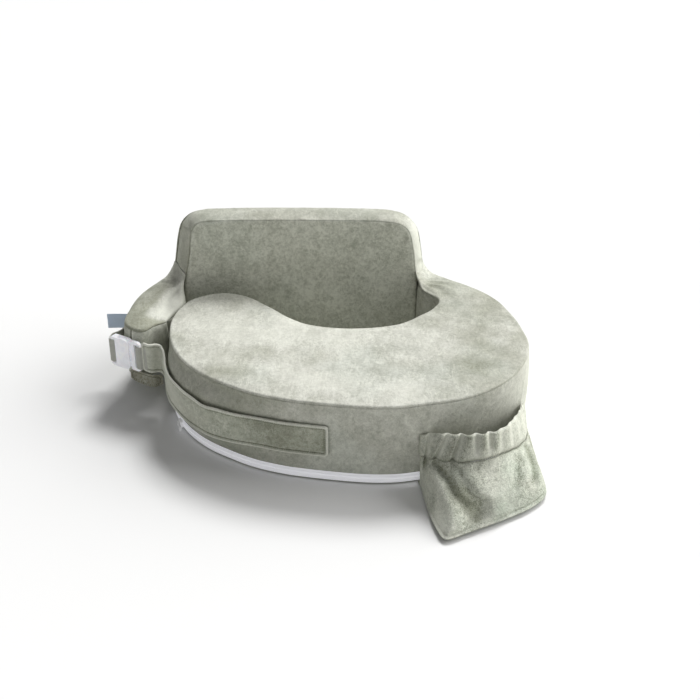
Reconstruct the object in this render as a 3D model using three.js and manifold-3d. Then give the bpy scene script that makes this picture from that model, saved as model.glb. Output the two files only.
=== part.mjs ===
// Wrap-around nursing pillow: foam ring with a raised backrest, a left wrap arm,
// a buckled belt, a zip round the base and an elastic-topped pocket.
// Units are millimetres, +Z up, +Y towards the backrest, -X (left) towards the buckle.
import * as THREE from 'three';
import { mergeVertices } from 'three/addons/utils/BufferGeometryUtils.js';
import Module from 'manifold-3d';

const wasm = await Module();
wasm.setup();

// ---------------------------------------------------------------- shared dimensions
const ORIGIN = [-56.3624, -0.8708]; // layout point that becomes the part's origin
const RING_H = 127;                 // ring height (5 in)
const CLOTH = 2;                    // cover thickness
const FOAM_INSET = 2.6;             // foam core inside the cover face
const GAP = 0.3;                    // clearance between neighbouring pieces
const WEB_T = 1.6;                  // bare webbing thickness
const WEB_W = 38;                   // bare webbing width
const BAND_Z0 = CLOTH + GAP;        // side bands start above the base panel
const BAND_Z1 = RING_H - CLOTH - GAP; // and stop below the top panel

// ---------------------------------------------------------------- materials
const WHITE = 0xf2f2f0;
const standard = (settings) => new THREE.MeshStandardMaterial(settings);
const MATERIALS = {
  plush: standard({ color: 0xb9bda9, roughness: 0.95 }),
  plushDark: standard({ color: 0xaeb29d, roughness: 0.95 }),
  foam: standard({ color: 0xe9e3cf, roughness: 0.9 }),
  label: standard({ color: 0x8fa3b6, roughness: 0.8 }),
  webbing: standard({ color: 0xb9bab2, roughness: 0.85 }),
  elastic: standard({ color: 0xe6e6e2, roughness: 0.8 }),
  zipTape: standard({ color: WHITE, roughness: 0.8 }),
  zipCoil: standard({ color: WHITE, roughness: 0.5 }),
  zipSlider: standard({ color: WHITE, roughness: 0.35, metalness: 0.1 }),
  plastic: standard({ color: WHITE, roughness: 0.4 }),
};

// ---------------------------------------------------------------- points and paths
const toVector2 = (p) => new THREE.Vector2(p[0], p[1]);
const radians = (degrees) => degrees * Math.PI / 180;
const lerp = (a, b, t) => a.map((value, i) => value + (b[i] - value) * t);
const planDistance = (a, b) => Math.hypot(a[0] - b[0], a[1] - b[1]);

function curveThrough(points) {
  const vectors = points.map(([x, y, z = 0]) => new THREE.Vector3(x, y, z));
  return new THREE.CatmullRomCurve3(vectors, false, 'centripetal');
}

// evenly spaced [x, y, z] points along a curve
const spline = (points, steps) => curveThrough(points).getSpacedPoints(steps)
  .map((p) => p.toArray());

// signed area, positive when counter-clockwise
function area(outline) {
  let twice = 0;
  outline.forEach((p, i) => {
    const q = outline[(i + 1) % outline.length];
    twice += p[0] * q[1] - q[0] * p[1];
  });
  return twice / 2;
}

// left-hand mitred normal at each point of a path
function normals(path, closed) {
  const count = path.length;
  const unit = ([x, y], fallback) => {
    const length = Math.hypot(x, y);
    return length < 1e-9 ? fallback : [x / length, y / length];
  };
  return path.map((point, i) => {
    const before = path[closed ? (i - 1 + count) % count : Math.max(i - 1, 0)];
    const after = path[closed ? (i + 1) % count : Math.min(i + 1, count - 1)];
    const stepIn = [point[0] - before[0], point[1] - before[1]];
    const stepOut = [after[0] - point[0], after[1] - point[1]];
    // an open path starts with its full, unscaled step, which changes that normal's length
    const incoming = unit(stepIn, stepOut);
    const outgoing = unit(stepOut, incoming);
    const mitre = [-(incoming[1] + outgoing[1]), incoming[0] + outgoing[0]];
    const scale = Math.min(2 / (mitre[0] * mitre[0] + mitre[1] * mitre[1]), 1.2);
    return [mitre[0] * scale, mitre[1] * scale];
  });
}

// moves a path sideways in plan: positive is to the left of its direction
function offset(path, distance, closed = false) {
  const sideways = normals(path, closed);
  return path.map((p, i) => [0, 1].map((axis) => p[axis] + sideways[i][axis] * distance));
}
const inset = (outline, depth) => offset(outline, area(outline) > 0 ? depth : -depth, true);

// ---------------------------------------------------------------- solids
// welds a stock geometry's corners into a closed indexed mesh
function weld(geometry) {
  geometry.deleteAttribute('normal');
  geometry.deleteAttribute('uv');
  return mergeVertices(geometry, 1e-4);
}

function prism(outline, z0, z1) {
  const shape = new THREE.Shape(outline.map(toVector2));
  const geometry = new THREE.ExtrudeGeometry(shape, { depth: z1 - z0, bevelEnabled: false });
  geometry.translate(0, 0, z0);
  return weld(geometry);
}

// box from its [low, high] extent on each axis
function box(...extents) {
  const geometry = new THREE.BoxGeometry(...extents.map(([low, high]) => high - low));
  geometry.translate(...extents.map(([low, high]) => (low + high) / 2));
  return weld(geometry);
}

// turns all triangles over if they enclose a negative volume
function faceOutward(points, index) {
  let volume = 0;
  for (let i = 0; i < index.length; i += 3) {
    const [a, b, c] = [points[index[i]], points[index[i + 1]], points[index[i + 2]]];
    volume += a[0] * (b[1] * c[2] - b[2] * c[1])
      - a[1] * (b[0] * c[2] - b[2] * c[0])
      + a[2] * (b[0] * c[1] - b[1] * c[0]);
  }
  if (volume >= 0) return;
  for (let i = 0; i < index.length; i += 3) {
    [index[i], index[i + 1]] = [index[i + 1], index[i]];
  }
}

// solid through a row of equal-sized rings of points; flatten(ring, ringNumber) gives an
// end ring's 2D outline, and rings of four points can do without it
function sweep(rings, flatten) {
  const size = rings[0].length;
  const last = rings.length - 1;
  const points = rings.flat();
  const index = [];
  for (let i = 0; i < last; i++) {
    for (let j = 0; j < size; j++) {
      const a = i * size + j;
      const b = i * size + (j + 1) % size;
      index.push(a, b, b + size, a, b + size, a + size);
    }
  }
  // cap triangles follow the ring's own order
  const capTriangles = (r) => {
    if (!flatten) return [[0, 1, 2], [0, 2, 3]];
    const flat = flatten(rings[r], r);
    const sense = area(flat);
    return THREE.ShapeUtils.triangulateShape(flat.map(toVector2), []).map((t) => (
      area(t.map((q) => flat[q])) * sense < 0 ? [t[0], t[2], t[1]] : t));
  };
  for (const [a, b, c] of capTriangles(0)) index.push(a, c, b);
  for (const t of capTriangles(last)) index.push(...t.map((q) => last * size + q));
  faceOutward(points, index);

  const geometry = new THREE.BufferGeometry();
  geometry.setAttribute('position', new THREE.Float32BufferAttribute(points.flat(), 3));
  geometry.setIndex(index);
  return geometry;
}

// upright strip along a path, between two sideways offsets and two heights above the path
function strip(path, [near, far], [low, high]) {
  const nearSide = offset(path, near);
  const farSide = offset(path, far);
  return sweep(path.map((p, i) => [
    [...nearSide[i], low + p[2]], [...farSide[i], low + p[2]],
    [...farSide[i], high + p[2]], [...nearSide[i], high + p[2]]]));
}

function toManifold(geometry) {
  return new wasm.Manifold(new wasm.Mesh({
    numProp: 3,
    vertProperties: new Float32Array(geometry.attributes.position.array),
    triVerts: new Uint32Array(geometry.index.array),
  }));
}
function fromManifold(manifold) {
  const mesh = manifold.getMesh();
  const geometry = new THREE.BufferGeometry();
  geometry.setAttribute('position', new THREE.Float32BufferAttribute(mesh.vertProperties, 3));
  geometry.setIndex(Array.from(mesh.triVerts));
  return mergeVertices(geometry, 1e-4);
}
const subtract = (base, ...cuts) => fromManifold(
  cuts.reduce((result, cut) => result.subtract(toManifold(cut)), toManifold(base)));
const unite = (base, ...parts) => fromManifold(
  parts.reduce((result, part) => result.add(toManifold(part)), toManifold(base)));

// ---------------------------------------------------------------- groups
const pillow = new THREE.Group();
pillow.name = 'nursing_pillow';
const layout = new THREE.Group();
layout.position.set(-ORIGIN[0], -ORIGIN[1], 0);
pillow.add(layout);

function add(name, geometry, material, parent = layout) {
  const mesh = new THREE.Mesh(geometry, material);
  mesh.name = name;
  parent.add(mesh);
}

// ---------------------------------------------------------------- ring
// arc of the left front corner; angles in degrees
const CORNER = { centre: [-64, 82], radius: 209.4, start: 185.5, end: 236, steps: 12 };
const cornerPoint = (degrees) => [
  CORNER.centre[0] + CORNER.radius * Math.cos(radians(degrees)),
  CORNER.centre[1] + CORNER.radius * Math.sin(radians(degrees))];
const CORNER_POINTS = Array.from({ length: CORNER.steps + 1 }, (_, i) => (
  cornerPoint(CORNER.start + (CORNER.end - CORNER.start) * i / CORNER.steps)));

// outer edge [x, y], from the left end round the front to the right rear
const OUTER_POINTS = [
  [-256, 160], [-266, 136], [-272, 112], [-274, 90], ...CORNER_POINTS,
  [-138, -119], [-95, -136], [-54, -146], [-14, -153], [27, -158], [67, -157], [108, -148],
  [150, -137], [182, -120], [209, -98], [228, -76], [242, -54], [254, -28], [262, 0],
  [265, 31], [262, 59], [256, 95], [246, 130], [237, 156], [223, 181], [209, 199],
  [187, 221], [164, 240], [141, 261], [123.2, 280]];
// waist edge [x, y], from the right rear back to the left end
const WAIST_POINTS = [
  [110.4, 221.6], [118, 199], [130, 183], [139.5, 170], [140, 157], [133, 142], [125, 129],
  [108, 112], [92, 96], [76, 84], [61, 78], [30, 71], [0, 69], [-23, 71], [-46, 76],
  [-69, 85], [-84, 96], [-100, 111], [-117, 131], [-134, 149], [-151, 167], [-168, 180],
  [-184, 187], [-200, 190], [-216, 188], [-231, 181], [-246, 171], [-256, 160]];
const outerPath = spline(OUTER_POINTS, 84);
const waistPath = spline(WAIST_POINTS, 54);
const outerWall = outerPath.slice(1, -1);
const waistWall = waistPath.slice(1, -1);

const ZIP = {
  start: [-266, 31],     // plan points nearest the two ends
  end: [256, 95],
  tapeDepth: [0.4, 1.8], // inward from the outer edge
  coilDepth: [-0.8, 1.8],
  stopDepth: [-1.6, 0.1],
  bottom: 2.5,
  coil: [7.7, 9.7],      // heights
  stop: [5.6, 11.8],
  top: 15.2,
  bandGap: 0.4,          // from the upper tape to the side band
  stopLength: 0.55,      // share of the zip path's first step
};

function addRing() {
  const outline = [...outerPath, ...waistPath.slice(0, -1)]; // counter-clockwise
  const core = prism(inset(outline, FOAM_INSET), FOAM_INSET, RING_H - FOAM_INSET);
  const outerBand = strip(outerWall, [0, CLOTH], [ZIP.top + ZIP.bandGap, BAND_Z1]);
  const waistBand = strip(waistWall, [0, CLOTH], [BAND_Z0, BAND_Z1]);
  add('ring_foam', core, MATERIALS.foam);
  add('lap_top_panel', prism(outline, RING_H - CLOTH, RING_H), MATERIALS.plush);
  add('ring_base_panel', prism(outline, 0, CLOTH), MATERIALS.plushDark);
  add('outer_side_band', outerBand, MATERIALS.plush);
  add('waist_side_band', waistBand, MATERIALS.plush);
}

// ---------------------------------------------------------------- zip round the base
function nearestIndex(path, target) {
  const distances = path.map((p) => planDistance(p, target));
  return distances.indexOf(Math.min(...distances));
}

function addZip() {
  const path = outerWall.slice(
    nearestIndex(outerWall, ZIP.start), nearestIndex(outerWall, ZIP.end) + 1);
  const [coilLow, coilHigh] = ZIP.coil;
  const lowerTape = strip(path, ZIP.tapeDepth, [ZIP.bottom, coilLow - GAP]);
  const upperTape = strip(path, ZIP.tapeDepth, [coilHigh + GAP, ZIP.top]);
  const coil = strip(path.slice(1, -1), ZIP.coilDepth, ZIP.coil);
  // the end stop sits just outside the tapes at the start of the zip
  const stopPath = [path[0], lerp(path[0], path[1], ZIP.stopLength)];
  add('zipper_tape_lower', lowerTape, MATERIALS.zipTape);
  add('zipper_tape_upper', upperTape, MATERIALS.zipTape);
  add('zipper_coil', coil, MATERIALS.zipCoil);
  add('zipper_stop', strip(stopPath, ZIP.stopDepth, ZIP.stop), MATERIALS.plastic);
}

const SLIDER_ANGLE = 206.3; // slider's parked angle on the corner arc, degrees
const PULL_PIVOT = 6.4;     // pull pivot, outward from the arc
const PULL_REST = 80;       // degrees from straight out, folded forward
const PULL_HALF_T = 1.4;
// pull outline [x, y], pointing straight out
const PULL_OUTLINE = [
  [-0.9, 5.3], [0.9, 5.3], [0.9, 9], [1.1, 24], [0.5, 26], [-0.5, 26], [-1.1, 24], [-0.9, 9]];

function sliderBody() {
  const plate = box([-6, 6], [0.35, 4.2], [-5.2, 5.2]);
  const lug = box([-2.2, 2.2], [4.1, 8.2], [-3.4, 3.4]);
  const coilChannel = box([-7, 7], [0, 1.5], [-1.9, 1.9]);
  const earSlot = box([-3, 3], [4.6, 9], [-1.7, 1.7]);
  return subtract(unite(plate, lug), coilChannel, earSlot);
}

// the pull lies along the tape, turned about its pivot between the slider's ears
function sliderPull() {
  const grip = box([-1.3, 1.3], [9.5, 24.5], [-3.6, 3.6]);
  return unite(prism(PULL_OUTLINE, -PULL_HALF_T, PULL_HALF_T), grip)
    .translate(0, -PULL_PIVOT, 0)
    .rotateZ(radians(PULL_REST))
    .translate(0, PULL_PIVOT, 0);
}

// local frame: x along the zip, y outward, z up, level with the middle of the coil
function addSlider() {
  const slider = new THREE.Group();
  slider.position.set(...cornerPoint(SLIDER_ANGLE), (ZIP.coil[0] + ZIP.coil[1]) / 2);
  slider.rotation.z = radians(SLIDER_ANGLE) - Math.PI / 2;
  layout.add(slider);
  add('zipper_slider', sliderBody(), MATERIALS.zipSlider, slider);
  add('zipper_pull', sliderPull(), MATERIALS.zipSlider, slider);
}

// ---------------------------------------------------------------- backrest
const BACK_Y0 = 222; // front face
const BACK_Y1 = 280; // rear face
const SPLIT_X = -215; // plane where the backrest bends with the arm
// front and rear outlines [x, z], matched point for point; the second is the right foot
const BACK_FRONT = [
  [-272, 0], [109.5, 0], [109.5, 127], [105.3, 151.7], [101.3, 187], [95.2, 214.5], [90, 223],
  [79, 230], [60, 234], [20, 236], [-80, 237], [-180, 236.5], [-225, 235.3], [-239, 232.7],
  [-246, 228], [-251, 221], [-255.2, 204.4], [-258.2, 178], [-263.3, 151.7],
  [-269.4, 128.4], [-272, 116]];
const BACK_REAR = [
  [-297, 0], [122, 0], [122, 127], [120, 145], [116.5, 172], [111, 200], [102.5, 215],
  [88, 227], [66, 234], [20, 237], [-80, 238.5], [-180, 238], [-235, 236], [-256, 231],
  [-268, 222.5], [-276, 211], [-282.5, 188], [-287, 161], [-291, 139],
  [-296, 124], [-297, 112]];
// each side of the split: where it is clipped, and the sign of x that is kept
const BODY_SIDE = { x: SPLIT_X + GAP, sign: 1 };
const ARM_SIDE = { x: SPLIT_X - GAP, sign: -1 };

function clip(outline, { x, sign }) {
  const kept = (p) => (p[0] - x) * sign >= 0;
  return outline.flatMap((a, i) => {
    const b = outline[(i + 1) % outline.length];
    const result = kept(a) ? [a] : [];
    if (kept(a) !== kept(b)) {
      const t = (x - a[0]) / (b[0] - a[0]);
      result.push([x, a[1] + (b[1] - a[1]) * t]);
    }
    return result;
  });
}

// full outline at depth y
function backOutline(y) {
  const t = (y - BACK_Y0) / (BACK_Y1 - BACK_Y0);
  return BACK_FRONT.map((p, i) => lerp(p, BACK_REAR[i], t));
}
const backSection = (y, depth, side) => clip(inset(backOutline(y), depth), side);

// solid between two depths, from the [x, z] outline at each
const loftBack = (y0, y1, outlineAt) => sweep(
  [y0, y1].map((y) => outlineAt(y).map(([x, z]) => [x, y, z])),
  (ring) => ring.map((p) => [p[0], p[2]]));
const backSlab = (y0, y1, depth, side) => loftBack(y0, y1, (y) => backSection(y, depth, side));
const backFoam = (side) => backSlab(
  BACK_Y0 + FOAM_INSET, BACK_Y1 - FOAM_INSET, FOAM_INSET, side);

// depths between the front and rear panels
const GUSSET_Y = [BACK_Y0 + CLOTH + GAP, BACK_Y1 - CLOTH - GAP];

// edge strip from the right foot, up and over the top to the split
function backGusset() {
  // a clipped outline starts on the floor at the split, and the strip leaves that point out
  const edge = (y, depth) => {
    const [foot, ...rest] = backSection(y, depth, BODY_SIDE).slice(1);
    return [[foot[0], BAND_Z0], ...rest].map(([x, z]) => [x, y, z]);
  };
  const [y0, y1] = GUSSET_Y;
  const edges = [edge(y0, 0), edge(y0, CLOTH), edge(y1, CLOTH), edge(y1, 0)];
  return sweep(edges[0].map((_, i) => edges.map((points) => points[i])));
}

function backBase() {
  const left = BODY_SIDE.x;
  return sweep(GUSSET_Y.map((y) => {
    const right = backOutline(y)[1][0];
    return [[left, y, 0], [right, y, 0], [right, y, CLOTH], [left, y, CLOTH]];
  }));
}

// cover of the left end, open on its split face
function backEndCover() {
  const overshoot = 6; // carries the hollow out through the split face
  const hollow = loftBack(BACK_Y0 + CLOTH, BACK_Y1 - CLOTH, (y) => (
    backSection(y, CLOTH, ARM_SIDE)
      .map(([x, z]) => [x > ARM_SIDE.x - 0.01 ? x + overshoot : x, z])));
  return subtract(backSlab(BACK_Y0, BACK_Y1, 0, ARM_SIDE), hollow);
}

function addBackrest() {
  const front = backSlab(BACK_Y0, BACK_Y0 + CLOTH, 0, BODY_SIDE);
  const rear = backSlab(BACK_Y1 - CLOTH, BACK_Y1, 0, BODY_SIDE);
  add('backrest_foam', backFoam(BODY_SIDE), MATERIALS.foam);
  add('backrest_front_panel', front, MATERIALS.plush);
  add('backrest_rear_panel', rear, MATERIALS.plush);
  add('backrest_gusset', backGusset(), MATERIALS.plush);
  add('backrest_base_panel', backBase(), MATERIALS.plushDark);
  add('backrest_end_foam', backFoam(ARM_SIDE), MATERIALS.foam);
  add('backrest_end_cover', backEndCover(), MATERIALS.plush);
}

// ---------------------------------------------------------------- wrap arm
const ARM_TIP_Z = 44;   // height of the arm's underside at its tip
const ARM_TIP_Y = 66;
const ARM_ROOT_Y = 222;
const ARM_SLOPE = ARM_TIP_Z / (ARM_ROOT_Y - ARM_TIP_Y);
// plan outline [x, y], from the rear down the outer wall, round the tip and back up
const ARM_POINTS = [
  [-298.4, 279.4], [-306, 259], [-313, 244], [-325, 220], [-337, 192], [-344, 163],
  [-347, 135], [-348, 112], [-345, 89], [-336, 75], [-324, 67], [-313, 66], [-304, 76],
  [-297, 100], [-293, 118], [-287, 135], [-276, 148], [-267, 159], [-263, 172],
  [-265, 190], [-268, 206], [-273.2, 221.6]];
// cutting blocks reach past the arm: left and right x, front and rear y, bottom and top z
const CUT = { x: [-380, -240], front: 40, rear: 300, bottom: -20, top: 90 };
const BASE_BLANK_H = 60; // block the base panel is cut from
const LABEL = { x: [-384, -348.4], y: 148, z: [85, 110], thickness: 1 };

// block across the arm with a [y, z] profile
const armCut = (profile) => sweep(
  CUT.x.map((x) => profile.map(([y, z]) => [x, y, z])),
  (ring) => ring.map((p) => [p[1], p[2]]));
// the underside rises from the root to the tip; lift raises it
const frontCutZ = (lift) => lift + (ARM_ROOT_Y - CUT.front) * ARM_SLOPE;
const belowUnderside = (lift) => armCut([
  [CUT.front, frontCutZ(lift)], [ARM_ROOT_Y, lift],
  [ARM_ROOT_Y, CUT.bottom], [CUT.front, CUT.bottom]]);
const aboveUnderside = (lift) => armCut([
  [CUT.front, frontCutZ(lift)], [ARM_ROOT_Y, lift],
  [CUT.rear, lift], [CUT.rear, CUT.top], [CUT.front, CUT.top]]);

function addArm() {
  const path = spline(ARM_POINTS, 46);
  const core = prism(inset(path, FOAM_INSET), FOAM_INSET, RING_H - FOAM_INSET);
  const band = strip(path, [0, CLOTH], [BAND_Z0, BAND_Z1]);
  const base = subtract(prism(path, 0, BASE_BLANK_H), belowUnderside(0), aboveUnderside(CLOTH));
  const labelY = [LABEL.y - LABEL.thickness / 2, LABEL.y + LABEL.thickness / 2];
  add('wrap_arm_foam', subtract(core, belowUnderside(FOAM_INSET)), MATERIALS.foam);
  add('arm_top_panel', prism(path, RING_H - CLOTH, RING_H), MATERIALS.plush);
  add('arm_side_band', subtract(band, belowUnderside(BAND_Z0)), MATERIALS.plush);
  add('arm_base_panel', base, MATERIALS.plushDark);
  add('label_tag', box(LABEL.x, labelY, LABEL.z), MATERIALS.label);
}

// ---------------------------------------------------------------- belt
const BELT_T = 5;
const BELT_W = 50;
const TAIL_T = 3.2;
const TAIL_HEIGHTS = [-9.6, 9.4]; // lower and upper edge, from the tail's path
// strap centre line [x, y, z], from the front of the ring to the buckle
const BELT_POINTS = [
  [-30, -155.2, 68], [-54, -150.6, 68], [-95, -141.2, 68], [-132, -128, 68],
  [-165, -119, 68.5], [-196, -105, 69], [-219, -86, 70], [-243, -57, 71], [-263, -24, 73],
  [-273, 5, 76], [-277, 27, 80], [-281, 42, 83], [-286, 49, 85], [-293.5, 48.5, 86.5],
  [-300.5, 44.8, 87.5], [-307.1, 46.9, 88], [-314.6, 51.1, 88]];
// folded-back free end [x, y, z], just below the strap and the male half
const TAIL_POINTS = [
  [-285.8, 46.5, 49], [-292.3, 46.5, 49], [-299, 43.8, 49.3], [-305.6, 45.6, 49.6],
  [-313, 50.1, 49.7], [-323.3, 56.1, 49.7], [-332, 61.2, 49.7], [-338, 64.7, 49.7]];

function addBelt() {
  const centred = (size) => [-size / 2, size / 2];
  const strap = strip(spline(BELT_POINTS, 52), centred(BELT_T), centred(BELT_W));
  const tail = strip(spline(TAIL_POINTS, 15), centred(TAIL_T), TAIL_HEIGHTS);
  add('belt_strap', strap, MATERIALS.plush);
  add('belt_tail', tail, MATERIALS.plushDark);
}

// ---------------------------------------------------------------- buckle
// local frame: x from the female half to the male half, y up, z outward
const BUCKLE_MOUTH = [-333.7, 62.2, 85]; // mouth of the female half
const BUCKLE_DIRECTION = [0.864, -0.503]; // plan direction of local x
const BUCKLE_HALF_W = 25;
const SLOT = { halfWidth: 20.5, radii: [1.5, 1.5], reach: 9 }; // webbing slots
const FEMALE = { x: [-36, 0], slot: [-31.5, -26.5], halfThickness: 5.6 };
const MALE = { x: [0.8, 19], slot: [8, 13.5], halfThickness: 2.6 };
// upper prong outline [x, y]
const PRONG_OUTLINE = [
  [0, 10.5], [0, 16.5], [-6, 17.2], [-9, 23.2], [-15, 24],
  [-19, 20.5], [-21, 15.5], [-20, 13], [-12, 12.6], [-6, 11.2]];
const PRONG_HALF_T = 2.3;

const plate = (outline, halfThickness) => prism(outline, -halfThickness, halfThickness);

// rectangle centred on y = 0; radii are for the low-x and high-x corners
function roundedRect([x0, x1], halfWidth, [r0, r1], steps) {
  const corners = [ // centre x, centre y, radius, start angle
    [x0 + r0, -halfWidth + r0, r0, 180], [x1 - r1, -halfWidth + r1, r1, 270],
    [x1 - r1, halfWidth - r1, r1, 0], [x0 + r0, halfWidth - r0, r0, 90]];
  return corners.flatMap(([x, y, radius, start]) => (
    Array.from({ length: steps + 1 }, (_, i) => {
      const angle = radians(start + 90 * i / steps);
      return [x + radius * Math.cos(angle), y + radius * Math.sin(angle)];
    })));
}
const webbingSlot = (x) => plate(roundedRect(x, SLOT.halfWidth, SLOT.radii, 2), SLOT.reach);

// webbing bar and slot at the rear, two face plates with an open mouth and open sides
function femaleHalf() {
  const barWidth = [-SLOT.halfWidth, SLOT.halfWidth];
  const body = subtract(
    plate(roundedRect(FEMALE.x, BUCKLE_HALF_W, [5, 7], 4), FEMALE.halfThickness),
    webbingSlot(FEMALE.slot),
    box([-37, -31], barWidth, [2.5, 9]), // thins the bar on both faces
    box([-37, -31], barWidth, [-9, -2.5]),
    box([-23.5, 3], [-30, 30], [-3.9, 3.9])); // mouth
  const centreBlock = box([-24, -13], [-3, 3], [-4.2, 4.2]);
  return unite(body, centreBlock);
}

// frame with a webbing slot and a centre tongue
function maleHalf() {
  const frame = plate(roundedRect(MALE.x, BUCKLE_HALF_W, [3, 6], 4), MALE.halfThickness);
  const tongue = plate(roundedRect([-10, 2], 5, [2, 0.5], 2), 2.2);
  return unite(subtract(frame, webbingSlot(MALE.slot)), tongue);
}

const prong = (sign) => plate(PRONG_OUTLINE.map(([x, y]) => [x, y * sign]), PRONG_HALF_T);

const LOOP = {
  radius: 4.9,      // webbing centre line round the bar
  shoulder: [3.4, 4.4], // x from the bar and z where the turn ends
  spread: 1.6,      // z of the two free ends
  turnSteps: 6,
};

// webbing round a bar: direction is the sign of x of its free ends, reach their distance
function webbingLoop(barX, direction, reach) {
  const [shoulderX, shoulderZ] = LOOP.shoulder;
  const turn = Array.from({ length: LOOP.turnSteps + 1 }, (_, i) => {
    const angle = radians(90 + 180 * i / LOOP.turnSteps);
    return [barX + direction * LOOP.radius * Math.cos(angle), LOOP.radius * Math.sin(angle)];
  });
  const path = [ // x, z
    [barX + direction * reach, LOOP.spread],
    [barX + direction * shoulderX, shoulderZ],
    ...turn,
    [barX + direction * shoulderX, -shoulderZ],
    [barX + direction * reach, -LOOP.spread]];
  const right = offset(path, -WEB_T / 2);
  const left = offset(path, WEB_T / 2);
  const at = ([x, z], y) => [x, y, z];
  return sweep(path.map((_, i) => [
    at(right[i], -WEB_W / 2), at(left[i], -WEB_W / 2),
    at(left[i], WEB_W / 2), at(right[i], WEB_W / 2)]));
}

function addBuckle() {
  const buckle = new THREE.Group();
  const along = new THREE.Vector3(...BUCKLE_DIRECTION, 0).normalize();
  const up = new THREE.Vector3(0, 0, 1);
  const outward = new THREE.Vector3().crossVectors(along, up);
  buckle.matrix.makeBasis(along, up, outward).setPosition(...BUCKLE_MOUTH);
  buckle.matrix.decompose(buckle.position, buckle.quaternion, buckle.scale);
  layout.add(buckle);

  const maleBarX = (MALE.slot[1] + MALE.x[1]) / 2;
  const femaleBarX = (FEMALE.x[0] + FEMALE.slot[0]) / 2;
  add('buckle_female', femaleHalf(), MATERIALS.plastic, buckle);
  add('buckle_male', maleHalf(), MATERIALS.plastic, buckle);
  add('buckle_prong_upper', prong(1), MATERIALS.plastic, buckle);
  add('buckle_prong_lower', prong(-1), MATERIALS.plastic, buckle);
  add('belt_webbing_loop', webbingLoop(maleBarX, 1, 4.9), MATERIALS.webbing, buckle);
  add('arm_webbing_loop', webbingLoop(femaleBarX, -1, 6), MATERIALS.webbing, buckle);
}

// webbing tab [x, y] sewn to the arm's outer wall, level with the buckle
const TAB_POINTS = [[-349.4, 139], [-350.2, 122], [-353.5, 110], [-359.5, 101], [-367, 96]];

function addWebbingTab() {
  const z = BUCKLE_MOUTH[2];
  const tab = strip(
    spline(TAB_POINTS, 12), [-WEB_T / 2, WEB_T / 2], [z - WEB_W / 2, z + WEB_W / 2]);
  add('arm_webbing_tab', tab, MATERIALS.webbing);
}

// ---------------------------------------------------------------- pocket
// curves [x, y, z] from the pocket's left end to its right end
const hemTop = curveThrough([
  [95, -156, 80], [101, -158.5, 81], [112, -162, 85], [133, -173, 92], [163, -186, 99],
  [192, -183, 101], [211, -166, 98], [227, -134, 90], [243, -92, 79], [254, -50, 65]]);
const stitchLine = curveThrough([ // under the hem
  [95.5, -160, 50], [103, -171, 54], [113, -184, 60], [132, -196, 65], [157, -205, 69],
  [185, -200, 70.5], [208, -183, 68], [231, -156, 60], [250, -115, 50], [257, -58, 38]]);
const bagFoot = curveThrough([
  [97, -161], [102, -195], [110, -245], [120, -279], [138, -281], [160, -270],
  [200, -251], [243, -223], [268, -194], [271, -160], [265, -110], [259, -58]]);
const sewnWall = curveThrough([
  [94, -151.8], [101, -151], [107, -149.6], [114, -148], [122, -146], [138, -142],
  [154, -137], [176, -125.5], [200, -107.5], [220, -88], [236, -66], [249, -44]]);
const pointOn = (curve, u) => curve.getPointAt(u).toArray();

const POCKET = {
  steps: 26,
  thickness: 2.4,
  bulge: 7,        // outward swell at mid-height
  topGap: 0.4,     // below the stitch line
  wallGap: 1.2,    // floor stops short of the wall
  minFloor: 3,
  footExtra: 1.2,  // extra thickness at the foot of the inner face
  innerLift: 0.6,  // raises the inner face between its ends
};
const FACE_STATIONS = [0, 0.25, 0.5, 0.75, 1]; // share of the way from the top to the foot

// moves a point towards the wall in plan
function toward(point, wall, distance) {
  const length = planDistance(wall, point) || 1;
  const move = (axis) => point[axis] + (wall[axis] - point[axis]) / length * distance;
  return [move(0), move(1), point[2]];
}

// cross-section: down the outer face, in along the floor and back up the inner face
function pocketRing(u) {
  const [stitch, foot, wall] = [stitchLine, bagFoot, sewnWall].map((c) => pointOn(c, u));
  const top = [stitch[0], stitch[1], stitch[2] - POCKET.topGap];
  const bulge = POCKET.bulge * Math.min(1, 5 * u * (1 - u));
  const face = (t, depth, lift) => {
    const [x, y, z] = lerp(top, foot, t);
    return toward([x, y, z + lift], wall, depth - bulge * Math.sin(Math.PI * t));
  };
  const { thickness, footExtra, innerLift } = POCKET;
  const floor = Math.max(planDistance(wall, foot) - POCKET.wallGap, POCKET.minFloor);
  const floorEnd = toward(foot, wall, floor);
  return [
    ...FACE_STATIONS.map((t) => face(t, 0, 0)),
    floorEnd,
    [floorEnd[0], floorEnd[1], thickness],
    face(1, thickness + footExtra, thickness),
    ...[0.75, 0.5, 0.25].map((t) => face(t, thickness, innerLift)),
    face(0, thickness, 0)];
}

function pocketPanel() {
  const rings = Array.from({ length: POCKET.steps + 1 }, (_, i) => pocketRing(i / POCKET.steps));
  return sweep(rings, (ring, r) => {
    const wall = pointOn(sewnWall, r ? 1 : 0);
    return ring.map((p) => [planDistance(p, wall), p[2]]);
  });
}

// hem profiles [share of the hem's height, distance in towards the wall]
// the hem is a folded casing, open along its lower edge, with the elastic inside it
const CASING_PROFILE = [
  [0, 0], [0.33, 0], [0.67, 0], [1, 0], [1, 5.2], [0.67, 5.2], [0.33, 5.2], [0, 5.2],
  [0, 4], [0.33, 4], [0.67, 4], [0.955, 4], [0.955, 1.2], [0.67, 1.2], [0.33, 1.2], [0, 1.2]];
const ELASTIC_PROFILE = [
  [0.08, 2], [0.33, 2], [0.67, 2], [0.9, 2], [0.9, 3.2], [0.67, 3.2], [0.33, 3.2], [0.08, 3.2]];
const HEM_STATIONS = Array.from({ length: 37 }, (_, i) => 0.012 + 0.976 * i / 36);
const HEM_CAP_H = 30; // nominal hem height for laying out the end caps

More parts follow.
